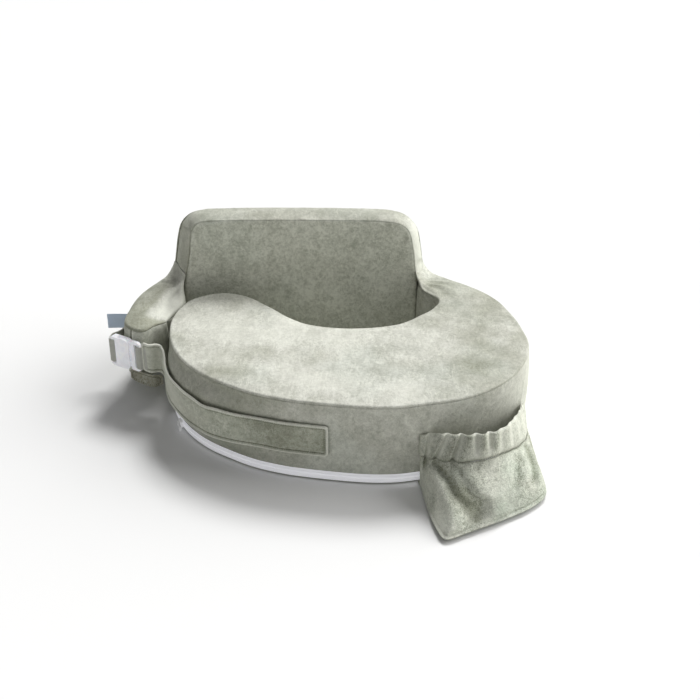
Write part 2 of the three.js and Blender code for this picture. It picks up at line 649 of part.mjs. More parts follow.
function hemSweep(stations, profile) {
  const ringAt = (u) => {
    const [top, stitch, wall] = [hemTop, stitchLine, sewnWall].map((c) => pointOn(c, u));
    const middle = lerp(stitch, top, 0.5);
    const inner = toward(middle, wall, 1);
    return profile.map(([rise, depth]) => (
      lerp(stitch, top, rise).map((value, i) => value + (inner[i] - middle[i]) * depth)));
  };
  const flat = profile.map(([rise, depth]) => [depth, rise * HEM_CAP_H]);
  return sweep(stations.map(ringAt), () => flat);
}

function addPocket() {
  const elastic = hemSweep(HEM_STATIONS.slice(1, -1), ELASTIC_PROFILE);
  add('pocket_panel', pocketPanel(), MATERIALS.plush);
  add('pocket_hem_casing', hemSweep(HEM_STATIONS, CASING_PROFILE), MATERIALS.plush);
  add('pocket_elastic', elastic, MATERIALS.elastic);
}

// ---------------------------------------------------------------- assembly
addRing();
addZip();
addSlider();
addBackrest();
addArm();
addBelt();
addBuckle();
addWebbingTab();
addPocket();

export default pillow;
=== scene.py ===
# A plush lap pillow: a U-shaped ring that opens to the rear, an upright backrest standing across
# its rear ends, a wrap arm that hangs forward from the backrest's left end, a belt with a
# side-release buckle joining ring and arm, a zip round the foot and a gathered pocket at the
# front right.
#
# The layout is in millimetres: x to the right, y to the rear, z up, floor at z = 0.
# to_m() takes it to the part frame in metres.
import bpy
import bmesh
import math
import numpy as np
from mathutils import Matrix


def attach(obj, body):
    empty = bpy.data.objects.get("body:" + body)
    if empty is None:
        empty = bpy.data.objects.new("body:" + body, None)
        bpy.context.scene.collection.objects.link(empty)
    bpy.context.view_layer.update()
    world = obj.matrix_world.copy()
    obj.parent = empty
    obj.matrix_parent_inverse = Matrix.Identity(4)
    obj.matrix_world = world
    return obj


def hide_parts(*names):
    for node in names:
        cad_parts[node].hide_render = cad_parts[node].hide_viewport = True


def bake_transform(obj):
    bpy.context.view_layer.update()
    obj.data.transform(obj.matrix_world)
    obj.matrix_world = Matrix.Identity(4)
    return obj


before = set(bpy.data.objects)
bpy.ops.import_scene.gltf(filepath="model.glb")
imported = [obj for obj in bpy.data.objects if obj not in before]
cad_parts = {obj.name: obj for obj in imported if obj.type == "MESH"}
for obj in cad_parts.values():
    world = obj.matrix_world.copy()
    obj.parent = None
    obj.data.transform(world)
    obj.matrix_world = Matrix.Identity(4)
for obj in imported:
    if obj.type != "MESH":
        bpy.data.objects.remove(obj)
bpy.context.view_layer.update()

from types import SimpleNamespace
from mathutils import Vector, geometry

PART_ORIGIN = (-56.3624, -0.8708, 0.0)  # origin of the part frame in the layout
TOP = 127.0                             # seam height of ring and arm tops
FOOT_Z = 3.4                            # lower edge of the side bands
ZIP_TOP = 15.6                          # lower edge of the outer band above the zip
TOP_ROLL = 3.0                          # radius of the ring's top edge
BAND_TOP = TOP - TOP_ROLL - 0.15
BACK_FRONT, BACK_REAR = 222.0, 280.0    # y of the backrest's two faces
UP, DOWN = (0, 0, 1.0), (0, 0, -1.0)


def to_m(p):
    return (np.asarray(p, float) - np.array(PART_ORIGIN)) / 1000.0


def part_point(x, y, z):
    return tuple(to_m([x, y, z]))


# ------------------------------------------------------------------ array helpers
def smooth(t):
    t = np.clip(t, 0, 1)
    return t * t * (3 - 2 * t)


def ramp(x, start, width):
    """Rises 0..1 from start over width."""
    return smooth((x - start) / width)


def fade(x, end, width):
    """Falls 1..0 over width, reaching 0 at end."""
    return smooth((end - x) / width)


def ridge(x, width):
    return np.exp(-(x / width) ** 2)


def uneven_ridge(x, left, right):
    return np.exp(-(np.maximum(x, 0) / right) ** 2 - (np.maximum(-x, 0) / left) ** 2)


def rolled(d, r):
    """Drop of a rolled edge at distance d from it: quarter round of radius r."""
    x = np.clip(d, 0, r)
    return r - np.sqrt(np.maximum(r * r - (r - x) ** 2, 0))


def unit(v, tiny=1e-9):
    return v / np.maximum(np.linalg.norm(v, axis=-1, keepdims=True), tiny)


def stack3(x, y, z):
    return np.stack(np.broadcast_arrays(x, y, z), -1)


def flat3(plan):
    return stack3(plan[:, 0], plan[:, 1], 0.0)


def polar(plan, x, y):
    dx, dy = plan[:, 0] - x, plan[:, 1] - y
    return np.arctan2(dy, dx), np.hypot(dx, dy)


def run_length(points):
    return np.concatenate([[0], np.cumsum(np.linalg.norm(np.diff(points, axis=0), axis=1))])


def interp_rows(x, xs, table):
    return np.stack([np.interp(x, xs, column) for column in table.T], -1)


def left_normals(path):
    """Left-hand plan normals of an open path."""
    t = unit(np.gradient(path[:, :2], axis=0))
    return stack3(-t[:, 1], t[:, 0], 0.0)


class Curve:
    """Centripetal Catmull-Rom through points, read by share of its length, 0..1."""

    def __init__(self, points, steps=60):
        knots = np.array([(*q, 0.0)[:3] for q in points], float)
        knots = np.vstack([2 * knots[0] - knots[1], knots, 2 * knots[-1] - knots[-2]])
        spans = []
        for p0, p1, p2, p3 in zip(knots, knots[1:], knots[2:], knots[3:]):
            gaps = [max(np.linalg.norm(b - a), 1e-9) ** 0.5
                    for a, b in ((p0, p1), (p1, p2), (p2, p3))]
            t0, t1, t2, t3 = np.cumsum([0.0] + gaps)
            t = np.linspace(t1, t2, steps, endpoint=False)[:, None]

            def mix(a, b, ta, tb):
                return (tb - t) / (tb - ta) * a + (t - ta) / (tb - ta) * b

            a1, a2, a3 = mix(p0, p1, t0, t1), mix(p1, p2, t1, t2), mix(p2, p3, t2, t3)
            spans.append(mix(mix(a1, a2, t0, t2), mix(a2, a3, t1, t3), t1, t2))
        self.points = np.vstack(spans + [knots[-2][None, :]])
        self.run = run_length(self.points)
        self.length = self.run[-1]

    def at(self, share):
        return interp_rows(np.asarray(share, float) * self.length, self.run, self.points)

    def sample(self, count):
        return self.at(np.linspace(0, 1, count))

    def reach(self, q):
        """Length run at the point nearest q in plan."""
        return self.run[np.argmin(np.hypot(self.points[:, 0] - q[0], self.points[:, 1] - q[1]))]


# ------------------------------------------------------------------ noise
def lattice(cell, seed):
    """Hashed value -1..1 of an integer cell."""
    h = (cell[..., 0] * 73856093) ^ (cell[..., 1] * 19349663) ^ (cell[..., 2] * 83492791)
    h = (h ^ (seed * 2654435761 + 97)) & 0xFFFFFFFF
    h = ((h ^ (h >> 15)) * 2246822519) & 0xFFFFFFFF
    h = ((h ^ (h >> 13)) * 3266489917) & 0xFFFFFFFF
    h ^= h >> 16
    return h.astype(float) / 2147483648.0 - 1.0


def noise(p, wave, seed):
    """Smooth noise in -1..1; wave is its length in mm, one number or three."""
    q = np.asarray(p, float) / np.asarray(wave, float) + 31.7 * (seed + 1)
    cell = np.floor(q).astype(np.int64)
    t = q - cell
    t = t * t * t * (t * (t * 6 - 15) + 10)
    out = 0.0
    for corner in np.ndindex(2, 2, 2):
        out = out + np.where(corner, t, 1 - t).prod(-1) * lattice(cell + corner, seed)
    return out


def fbm(p, wave, seed, octaves):
    wave = np.asarray(wave, float)
    return sum(0.5 ** k * noise(p, wave / 2 ** k, seed + 7 * k) for k in range(octaves))


def line_noise(s, wave, seed):
    return noise(stack3(s, 0.0, 0.0), wave, seed)


def pile(p):
    """Fine uneven lie of the plush, in mm."""
    return 0.16 * noise(p, 4.2, 40) + 0.13 * noise(p, 2.3, 41)


# ------------------------------------------------------------------ meshes
def add_object(name, data):
    o = bpy.data.objects.new(name, data)
    bpy.context.scene.collection.objects.link(o)
    return o


def mesh_object(name, verts, faces, mat):
    me = bpy.data.meshes.new(name)
    me.from_pydata([tuple(v) for v in to_m(verts).tolist()], [], faces)
    me.validate()
    bm = bmesh.new()
    bm.from_mesh(me)
    bmesh.ops.recalc_face_normals(bm, faces=bm.faces)
    bm.to_mesh(me)
    bm.free()
    me.polygons.foreach_set("use_smooth", [True] * len(me.polygons))
    me.materials.append(mat)
    return add_object(name, me)


def two_layers(name, outer, inner, faces, flipped, rim, mat):
    """Closed body: outer faces, the flipped ones on the inner layer, and quads along the rim."""
    m = len(outer)
    faces = faces + [[k + m for k in f] for f in flipped]
    faces += [[b, a, a + m, b + m] for a, b in rim]
    return mesh_object(name, np.vstack([outer, inner]), faces, mat)


def grid_normals(grid):
    return unit(np.cross(np.gradient(grid, axis=0), np.gradient(grid, axis=1)))


def grid_faces(rows, columns, closed=False):
    idx = np.arange(rows * columns).reshape(rows, columns)
    if closed:
        idx = np.hstack([idx, idx[:, :1]])
    quads = [idx[:-1, :-1], idx[1:, :-1], idx[1:, 1:], idx[:-1, 1:]]
    return np.stack(quads, -1).reshape(-1, 4).tolist()


def shell(name, grid, mat, thick, outward=None, at=None):
    """Cloth from a grid of outer points. Its outer side is that of the grid's normals, or the
    side that faces outward at grid place at (the middle by default)."""
    rows, columns, _ = grid.shape
    normals = grid_normals(grid)
    if outward is not None and np.dot(normals[at or (rows // 2, columns // 2)], outward) < 0:
        normals = -normals
    faces = grid_faces(rows, columns)
    i = np.arange(rows * columns).reshape(rows, columns)
    rim = np.concatenate([i[:, 0], i[-1, 1:], i[::-1, -1][1:], i[0, ::-1][1:-1]])
    return two_layers(name, grid.reshape(-1, 3), (grid - normals * thick).reshape(-1, 3), faces,
                      [[a, d, c, b] for a, b, c, d in faces],
                      zip(rim.tolist(), np.roll(rim, -1).tolist()), mat)


def tube(name, rings, mat):
    """Closed sweep through rings (n, k, 3), each end filled by a fan."""
    n, k, _ = rings.shape
    faces = grid_faces(n, k, closed=True)
    last = (n - 1) * k
    for j in range(k):
        after = (j + 1) % k
        faces.append([after, j, n * k])
        faces.append([last + j, last + after, n * k + 1])
    verts = np.vstack([rings.reshape(-1, 3), rings[0].mean(0), rings[-1].mean(0)])
    return mesh_object(name, verts, faces, mat)


def edge_distance(q, line, closed=False):
    """Distance from plan points q to a polyline, worked in batches of segments."""
    if closed:
        line = np.vstack([line, line[:1]])
    best = np.full(len(q), 1e9)
    for k in range(0, len(line) - 1, 64):
        a, b = line[:-1][k:k + 64], line[1:][k:k + 64]
        d = b - a
        share = ((q[:, None, :] - a) * d).sum(2) / np.maximum((d * d).sum(1), 1e-12)
        e = q[:, None, :] - (a + np.clip(share, 0, 1)[..., None] * d)
        best = np.minimum(best, np.sqrt((e * e).sum(2)).min(1))
    return best


def inside(q, outline):
    x, y = q[:, 0], q[:, 1]
    odd = np.zeros(len(q), bool)
    for (x1, y1), (x2, y2) in zip(outline, np.roll(outline, -1, 0)):
        if y1 != y2:
            odd ^= ((y1 > y) != (y2 > y)) & (x < (x2 - x1) * (y - y1) / (y2 - y1) + x1)
    return odd


def resample(outline, step):
    p = np.vstack([outline, outline[:1]])
    run = run_length(p)
    count = max(8, int(round(run[-1] / step)))
    return interp_rows(np.linspace(0, run[-1], count, endpoint=False), run, p)


def signed_area(p):
    after = np.roll(p, -1, 0)
    return 0.5 * np.sum(p[:, 0] * after[:, 1] - after[:, 0] * p[:, 1])


def loop_normals(p, reach):
    """Left-hand normals of a closed outline."""
    t = unit(np.roll(p, -reach, 0) - np.roll(p, reach, 0))
    return np.stack([-t[:, 1], t[:, 0]], -1)


def shrink(outline, d):
    p = resample(outline, 3.0)
    q = p + loop_normals(p, 2) * (d if signed_area(p) > 0 else -d)
    return q[edge_distance(q, p, True) > d * 0.97]


def flat_cells(outline, step, rows):
    """Triangles over a plan outline: rows that follow the edge, then a hex grid."""
    edge = resample(outline, step * 0.62)
    if signed_area(edge) < 0:
        edge = edge[::-1].copy()
    inward_dir = loop_normals(edge, 1)
    points = [edge]
    for r in rows:
        c = edge + inward_dir * r
        points.append(c[inside(c, edge) & (edge_distance(c, edge, True) > r * 0.93)])
    lo, hi = edge.min(0), edge.max(0)
    grid_y = np.arange(lo[1], hi[1], step * 0.866)
    X, Y = np.meshgrid(np.arange(lo[0], hi[0], step), grid_y)
    X = X + (np.arange(len(grid_y))[:, None] % 2) * step * 0.5
    g = np.stack([X.ravel(), Y.ravel()], -1)
    g = g[inside(g, edge)]
    points.append(g[edge_distance(g, edge, True) > rows[-1] + step * 0.55])
    n = len(edge)
    verts, _, faces, *_ = geometry.delaunay_2d_cdt(
        [Vector(p) for p in np.vstack(points).tolist()],
        [(i, (i + 1) % n) for i in range(n)], [], 1, 1e-5)
    return (np.array([(p.x, p.y) for p in verts]),
            [list(f) for f in faces if len(f) == 3], edge)


def solid_between(name, faces, outer, inner, mat):
    """Closed body between two layers of the same triangles."""
    rim = {}
    for f in faces:
        for a, b in zip(f, f[1:] + f[:1]):
            if (b, a) in rim:
                del rim[(b, a)]
            else:
                rim[(a, b)] = 1
    return two_layers(name, outer, inner, faces, [f[::-1] for f in faces], list(rim), mat)


def panel(name, faces, outer, mat, outward, thick=1.6):
    """Cloth panel from triangles over outer points."""
    tri = np.array(faces)
    face_normals = np.cross(outer[tri[:, 1]] - outer[tri[:, 0]],
                            outer[tri[:, 2]] - outer[tri[:, 0]])
    n = np.zeros_like(outer)
    for k in range(3):
        np.add.at(n, tri[:, k], face_normals)
    n = unit(n, 1e-12)
    if (n * outward).sum() < 0:
        n = -n
    return solid_between(name, faces, outer, outer - n * thick, mat)


def mark(o, name, values, kind="FLOAT", field="value", width=1):
    """Per-vertex values the material reads; two-layer cloth gets them on both layers."""
    values = np.asarray(values, np.float32).ravel()
    n = len(values)
    full = np.zeros(len(o.data.vertices) * width, np.float32)
    full[:n] = values
    if len(full) >= 2 * n:
        full[n:2 * n] = values
    o.data.attributes.new(name, kind, "POINT").data.foreach_set(field, full)


def mark_weave(o, along, across):
    """Length and width on a strap, kept in metres."""
    mark(o, "suv", stack3(along, across, 0.0) / 1000.0, "FLOAT_VECTOR", "vector", 3)


def done(o, body, slot, *nodes):
    if isinstance(body, tuple):
        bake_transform(o)
    else:
        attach(o, body)
    if nodes:
        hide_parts(*nodes)


def moulded(node, name, mat, bevel_mm, body, slot, angle=28):
    """A finer copy of a CAD piece: the same faces with rounded edges."""
    bm = bmesh.new()
    bm.from_mesh(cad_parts[node].data)
    bmesh.ops.remove_doubles(bm, verts=bm.verts, dist=2e-6)
    bmesh.ops.dissolve_limit(bm, angle_limit=math.radians(0.8), verts=bm.verts, edges=bm.edges)
    me = bpy.data.meshes.new(name)
    bm.to_mesh(me)
    bm.free()
    me.materials.clear()
    me.materials.append(mat)
    me.polygons.foreach_set("use_smooth", [True] * len(me.polygons))
    o = add_object(name, me)
    bevel = o.modifiers.new("edges", "BEVEL")
    bevel.width = bevel_mm / 1000.0
    bevel.segments = 3
    bevel.limit_method = "ANGLE"
    bevel.angle_limit = math.radians(angle)
    bevel.harden_normals = True
    bevel.use_clamp_overlap = True
    done(o, body, slot, node)


# Cloth that crosses the place where the left end bends.
BEND = ("pillow", "wrap_arm", part_point(-165, 250, 60), part_point(-268, 250, 60))

# ------------------------------------------------------------------ outlines
# Ring, plan (x, y): the outer side from the left end round the front to the rear right.
LEFT_ARC = [(-64 + 209.4 * math.cos(math.radians(a)), 82 + 209.4 * math.sin(math.radians(a)))
            for a in np.linspace(185.5, 236, 13)]
OUTER = Curve([(-256, 160), (-266, 136), (-272, 112), (-274, 90)] + LEFT_ARC + [
    (-138, -119), (-95, -136), (-54, -146), (-14, -153), (27, -158), (67, -157), (108, -148),
    (150, -137), (182, -120), (209, -98), (228, -76), (242, -54), (254, -28), (262, 0), (265, 31),
    (262, 59), (256, 95), (246, 130), (237, 156), (223, 181), (209, 199), (187, 221), (164, 240),
    (141, 261), (123.2, 280)])
# The waist side, from the rear right back to the left end.
INNER = Curve([
    (110.4, 221.6), (118, 199), (130, 183), (139.5, 170), (140, 157), (133, 142), (125, 129),
    (108, 112), (92, 96), (76, 84), (61, 78), (30, 71), (0, 69), (-23, 71), (-46, 76), (-69, 85),
    (-84, 96), (-100, 111), (-117, 131), (-134, 149), (-151, 167), (-168, 180), (-184, 187),
    (-200, 190), (-216, 188), (-231, 181), (-246, 171), (-256, 160)])
# Wrap arm, plan (x, y): down the outer side, round the tip, up the side next to the ring.
ARM = Curve([
    (-298.4, 279.4), (-306, 259), (-313, 244), (-325, 220), (-337, 192), (-344, 163),
    (-347, 135), (-348, 112), (-345, 89), (-336, 75), (-324, 67), (-313, 66), (-304, 76),
    (-297, 100), (-293, 118), (-287, 135), (-276, 148), (-267, 159), (-263, 172), (-265, 190),
    (-268, 206), (-273.2, 221.6)])
# Backrest, elevation (x, z): over the top from right to left, on its front and rear faces.
FRONT_SIDE = [
    (109.5, 127), (105.3, 151.7), (101.3, 187), (95.2, 214.5), (90, 223), (79, 230), (60, 234),
    (20, 236), (-80, 237), (-180, 236.5), (-225, 235.3), (-239, 232.7), (-246, 228),
    (-251, 221), (-255.2, 204.4), (-258.2, 178), (-263.3, 151.7), (-269.4, 128.4), (-272, 116)]
REAR_SIDE = [
    (122, 127), (120, 145), (116.5, 172), (111, 200), (102.5, 215), (88, 227), (66, 234),
    (20, 237), (-80, 238.5), (-180, 238), (-235, 236), (-256, 231), (-268, 222.5),
    (-276, 211), (-282.5, 188), (-287, 161), (-291, 139), (-296, 124), (-297, 112)]


# ------------------------------------------------------------------ materials
def srgb(*rgb):
    """Linear colour from 0..255 values."""
    shares = [c / 255 for c in rgb]
    return (*[c / 12.92 if c <= 0.04045 else ((c + 0.055) / 1.055) ** 2.4 for c in shares], 1.0)


class Mat:
    """Small helper round a node tree; noise wavelengths are in mm."""

    def __init__(self, name):
        self.material = bpy.data.materials.new(name)
        self.material.use_nodes = True
        self.tree = self.material.node_tree
        self.bsdf = self.tree.nodes["Principled BSDF"]
        self.pos = self.node("ShaderNodeTexCoord").outputs["Object"]

    def put(self, socket, value):
        if hasattr(value, "is_output"):
            self.tree.links.new(value, socket)
        else:
            socket.default_value = value

    def node(self, kind, inputs=(), **settings):
        n = self.tree.nodes.new(kind)
        for key, value in settings.items():
            setattr(n, key, value)
        for key, value in dict(inputs).items():
            self.put(n.inputs[key], value)
        return n

    def mapped(self, scale=(1, 1, 1), rot=(0, 0, 0), loc=(0, 0, 0)):
        return self.node("ShaderNodeMapping", {"Vector": self.pos, "Scale": scale,
                                               "Rotation": rot, "Location": loc}).outputs["Vector"]

    def noise(self, wave, detail=2.0, rough=0.5, vec=None, distort=0.0):
        return self.node("ShaderNodeTexNoise", {
            "Vector": self.pos if vec is None else vec, "Scale": 1000.0 / wave,
            "Detail": detail, "Roughness": rough, "Distortion": distort}).outputs["Fac"]

    def voronoi(self, wave):
        return self.node("ShaderNodeTexVoronoi", {
            "Vector": self.pos, "Scale": 1000.0 / wave}).outputs["Distance"]

    def math(self, op, a, b=0.0):
        return self.node("ShaderNodeMath", {0: a, 1: b}, operation=op).outputs[0]

    def add(self, a, b):
        return self.math("ADD", a, b)

    def mul(self, a, b):
        return self.math("MULTIPLY", a, b)

    def clamp(self, v):
        return self.math("MINIMUM", self.math("MAXIMUM", v, 0.0), 1.0)

    def sine(self, v, pitch_mm):
        return self.math("SINE", self.mul(v, 2 * math.pi * 1000 / pitch_mm))

    def span(self, v, src=(0.3, 0.7), to=(0.0, 1.0)):
        return self.node("ShaderNodeMapRange", {
            "Value": v, "From Min": src[0], "From Max": src[1],
            "To Min": to[0], "To Max": to[1]}).outputs["Result"]

    def mix(self, fac, a, b, blend="MIX"):
        return self.node("ShaderNodeMix", {0: fac, 6: a, 7: b},
                         data_type="RGBA", blend_type=blend).outputs[2]

    def darken(self, fac, col, *rgb):
        """Multiplies col by a colour, by share fac."""
        return self.mix(fac, col, self.mix(1.0, col, srgb(*rgb), "MULTIPLY"))

    def attr(self, name, out="Fac"):
        return self.node("ShaderNodeAttribute", attribute_name=name).outputs[out]

    def split(self, vec):
        return self.node("ShaderNodeSeparateXYZ", {0: vec}).outputs

    def bump(self, height, dist_mm, strength, normal=None):
        inputs = {"Height": height, "Distance": dist_mm / 1000.0, "Strength": strength}
        if normal is not None:
            inputs["Normal"] = normal
        return self.node("ShaderNodeBump", inputs).outputs["Normal"]

    def set(self, **values):
        """Principled BSDF inputs, with _ for each space in the name."""
        for key, value in values.items():
            self.put(self.bsdf.inputs[key.replace("_", " ")], value)

    # Painted light: a faint emission that brightens white parts beyond what the lamps give.
    def painted_glow(self, strength, color):
        if strength:
            self.set(Emission_Color=color, Emission_Strength=strength)


def plush(name, lo, hi, grain=1.0, tuft=1.0, green=0.0, rim=None, fold=0.4):
    """Short brushed pile: soft clouds where the pile was stroked, streaks, fine grain and sheen,
    with painted light and shade from the nap mark, darker upright faces, painted shade in folds
    (its share is fold), seams and grooves, and a painted highlight on rims where a rim colour is
    given.
    """
    m = Mat(name)
    cloud = m.noise(wave=70, detail=3, rough=0.55, distort=0.6)
    stroke = m.noise(wave=13, detail=3, rough=0.6, distort=0.8,
                     vec=m.mapped(scale=(1.0, 0.45, 1.0), rot=(0.3, 0.2, 0.6)))
    tufts = m.noise(wave=5.0, detail=2, rough=0.6)
    grains = m.noise(wave=1.5, detail=2, rough=0.65)
    fine = m.noise(wave=0.55, detail=1, rough=0.5)
    clouds = m.span(cloud, to=(-0.20, 0.20))
    strokes = m.span(stroke, src=(0.28, 0.72), to=(-0.28 * tuft, 0.28 * tuft))
    tones = m.add(m.span(tufts, to=(-0.26 * tuft, 0.26 * tuft)),
                  m.span(grains, to=(-0.34 * grain, 0.34 * grain)))
    col = m.mix(m.clamp(m.add(m.add(m.add(clouds, strokes), tones), 0.5)), lo, hi)
    if green:
        patches = m.noise(wave=110, detail=1, vec=m.mapped(loc=(0.31, 0.12, 0.0)))
        tint = m.span(patches, src=(0.48, 0.68), to=(0.0, green))
        col = m.darken(tint, col, 243, 248, 248)
    col = m.darken(m.attr("cool"), col, 238, 247, 243)
    # Short pale strokes where the pile was brushed, in two directions.
    for turn, wave, amount in ((0.5, 7.0, 0.46 * tuft), (-0.7, 8.5, 0.42 * tuft)):
        hair = m.noise(wave=wave, rough=0.55, distort=0.5,
                       vec=m.mapped(scale=(1.0, 0.32, 0.75), rot=(0.4 * turn, 0.2, turn)))
        line = m.span(m.math("ABSOLUTE", m.math("SUBTRACT", hair, 0.5)),
                      src=(0.0, 0.055), to=(1.0, 0.0))
        where = m.span(m.noise(wave=24, vec=m.mapped(loc=(turn, 0.3, 0.0))),
                       src=(0.47, 0.60), to=(0.0, amount))
        col = m.mix(m.mul(line, where), col, srgb(232, 233, 222))
    # Painted light and shade, with some brushed nap: the nap mark above 0 paints the pile paler,
    # below 0 darker.
    nap_and_painted_light = m.attr("nap_and_painted_light")
    col = m.mix(m.clamp(nap_and_painted_light), col, m.mix(0.55, col, srgb(238, 239, 228)))
    col = m.darken(m.clamp(m.mul(nap_and_painted_light, -1.0)), col, 198, 199, 189)
    # Painted shade: upright faces darker than the tops, as a velvet pile looks duller there.
    normal_z = m.split(m.node("ShaderNodeNewGeometry").outputs["Normal"])[2]
    upright_painted_shade = m.span(normal_z, src=(0.25, 0.85), to=(1.0, 0.0))
    col = m.darken(m.mul(upright_painted_shade, 0.6), col, 232, 233, 228)
    # Painted shade: darker down in the folds and seams, by ambient occlusion; fold sets its share.
    ao = m.node("ShaderNodeAmbientOcclusion", {"Distance": 0.012}, samples=6).outputs["AO"]
    col = m.darken(m.span(ao, src=(0.2, 0.9), to=(fold, 0.0)), col, 150, 152, 136)
    # Painted shade: a dark line along seam grooves, from the groove mark.
    col = m.darken(m.mul(m.attr("groove"), 0.75), col, 132, 134, 118)
    # Painted highlight: the rolled rims paler, by the rim colour and the rim mark.
    if rim:
        col = m.mix(m.mul(m.attr("rim"), m.span(grains, to=(0.55, 1.0))), col, rim)
    height = m.add(m.mul(grains, 0.7), m.mul(fine, 0.35))
    height = m.add(height, m.mul(tufts, 0.5))
    normal = m.bump(height, dist_mm=0.75, strength=0.55 * grain)
    normal = m.bump(stroke, dist_mm=1.1, strength=0.35 * tuft, normal=normal)
    m.set(Base_Color=col, Roughness=m.span(stroke, to=(0.98, 0.86)), Normal=normal,
          Specular_IOR_Level=0.12, Sheen_Weight=0.38, Sheen_Roughness=0.42,
          Sheen_Tint=srgb(238, 240, 228))
    return m.material


def open_foam():
    m = Mat("open_cell_foam")
    cells, big_cells = m.voronoi(wave=1.6), m.voronoi(wave=4.5)
    col = m.mix(m.span(cells, src=(0.0, 0.7)), srgb(176, 162, 126), srgb(238, 230, 206))
    yellowing = m.span(m.noise(wave=40), src=(0.35, 0.65), to=(0.0, 0.35))
    col = m.mix(yellowing, col, srgb(226, 208, 164))
    height = m.add(cells, m.mul(big_cells, 0.6))
    m.set(Base_Color=col, Roughness=0.95, Normal=m.bump(height, dist_mm=0.8, strength=0.8),
          Specular_IOR_Level=0.1)
    return m.material


def woven(name, lo, hi, pitch_u, pitch_v, rough, dist, diag=False, painted_glow=0.0):
    """Woven tape or webbing on the strap's own length and width; pitches and bump in mm."""
    m = Mat(name)
    u, v = m.split(m.attr("suv", "Vector"))[:2]
    if diag:
        u = m.add(u, m.math("PINGPONG", v, 0.0016))
    across = m.sine(v, pitch_v)
    weave = m.mul(m.sine(u, pitch_u), across)
    ribs = m.add(m.mul(weave, 0.5), m.mul(m.math("ABSOLUTE", across), 0.35))
    col = m.mix(m.span(ribs, src=(-0.5, 0.8)), lo, hi)
    col = m.mix(m.span(m.noise(wave=9), src=(0.35, 0.65), to=(0.0, 0.25)), col, lo)
    height = m.add(ribs, m.mul(m.noise(wave=0.5, detail=1), 0.4))
    m.set(Base_Color=col, Roughness=rough, Normal=m.bump(height, dist_mm=dist, strength=0.8),
          Specular_IOR_Level=0.25, Sheen_Weight=0.15)
    # Painted light: the tape can glow faintly.
    m.painted_glow(painted_glow, (0.93, 0.94, 1.0, 1.0))
    return m.material


def plastic(name, base, edge, rough, texture, painted_glow, sss=0.0):
    """Moulded plastic: fine texture, faint clouds and a little polish on the edges."""
    m = Mat(name)
    cloud = m.noise(wave=14)
    grain = m.noise(wave=0.35, rough=0.6)
    col = m.mix(m.span(cloud, src=(0.35, 0.65)), base, edge)
    pointiness = m.node("ShaderNodeNewGeometry").outputs["Pointiness"]
    wear = m.span(pointiness, src=(0.52, 0.60))
    gloss = m.math("SUBTRACT", m.span(grain, to=(rough - 0.05, rough + 0.08)), m.mul(wear, 0.12))
    m.set(Base_Color=col, Roughness=gloss, Specular_IOR_Level=0.45,
          Normal=m.bump(grain, dist_mm=texture, strength=0.35),
          Subsurface_Weight=sss, Subsurface_Scale=0.002)
    # Painted light: the plastic can glow faintly.
    m.painted_glow(painted_glow, (0.94, 0.95, 1.0, 1.0))
    return m.material


def thread(name, color):
    m = Mat(name)
    twist = m.noise(wave=0.7, detail=1, vec=m.mapped(scale=(1, 1, 2.4)))
    m.set(Base_Color=m.mix(m.span(twist, to=(0.0, 0.5)), color, srgb(140, 143, 128)),
          Roughness=0.7, Normal=m.bump(twist, dist_mm=0.15, strength=0.6), Sheen_Weight=0.2)
    return m.material


def satin():
    m = Mat("label_satin")
    u, v = m.split(m.attr("suv", "Vector"))[:2]
    weave = m.add(m.mul(m.sine(u, pitch_mm=0.55), 0.35), m.mul(m.sine(v, pitch_mm=0.8), 0.65))
    col = m.mix(m.span(weave, src=(-1, 1)), srgb(170, 188, 210), srgb(206, 220, 235))
    clouds = m.span(m.noise(wave=12), src=(0.35, 0.7), to=(0.0, 0.3))
    col = m.mix(clouds, col, srgb(178, 194, 208))
    m.set(Base_Color=col, Roughness=0.5, Normal=m.bump(weave, dist_mm=0.08, strength=0.7),
          Sheen_Weight=0.3)
    return m.material


PLUSH = plush("sage_plush", srgb(177, 178, 167), srgb(218, 218, 209), green=0.5)
PLUSH_BACK = plush("sage_plush_backrest", srgb(180, 182, 169), srgb(230, 231, 220),
                   tuft=1.25, green=0.3)
# The belt's rim colour is a painted highlight on its rolled edges.
PLUSH_BELT = plush("sage_plush_belt", srgb(158, 160, 146), srgb(203, 205, 191),
                   green=0.3, rim=srgb(226, 227, 216))
# The pocket's fold=0.7 paints deeper shade into its folds.
PLUSH_POCKET = plush("sage_plush_pocket", srgb(140, 143, 129), srgb(220, 222, 209),
                     grain=1.5, tuft=0.8, green=0.9, fold=0.7)
PLUSH_BASE = plush("sage_plush_base", srgb(150, 153, 137), srgb(196, 198, 184),
                   grain=0.7, tuft=0.6)
# Painted shade: a darker copy of the plush for the strap's tail, which sits in shade.
PLUSH_TAIL_SHADED = plush("sage_plush_strap_back_shaded", srgb(118, 116, 104), srgb(170, 168, 152),
                   grain=0.9, tuft=0.8)
FOAM = open_foam()
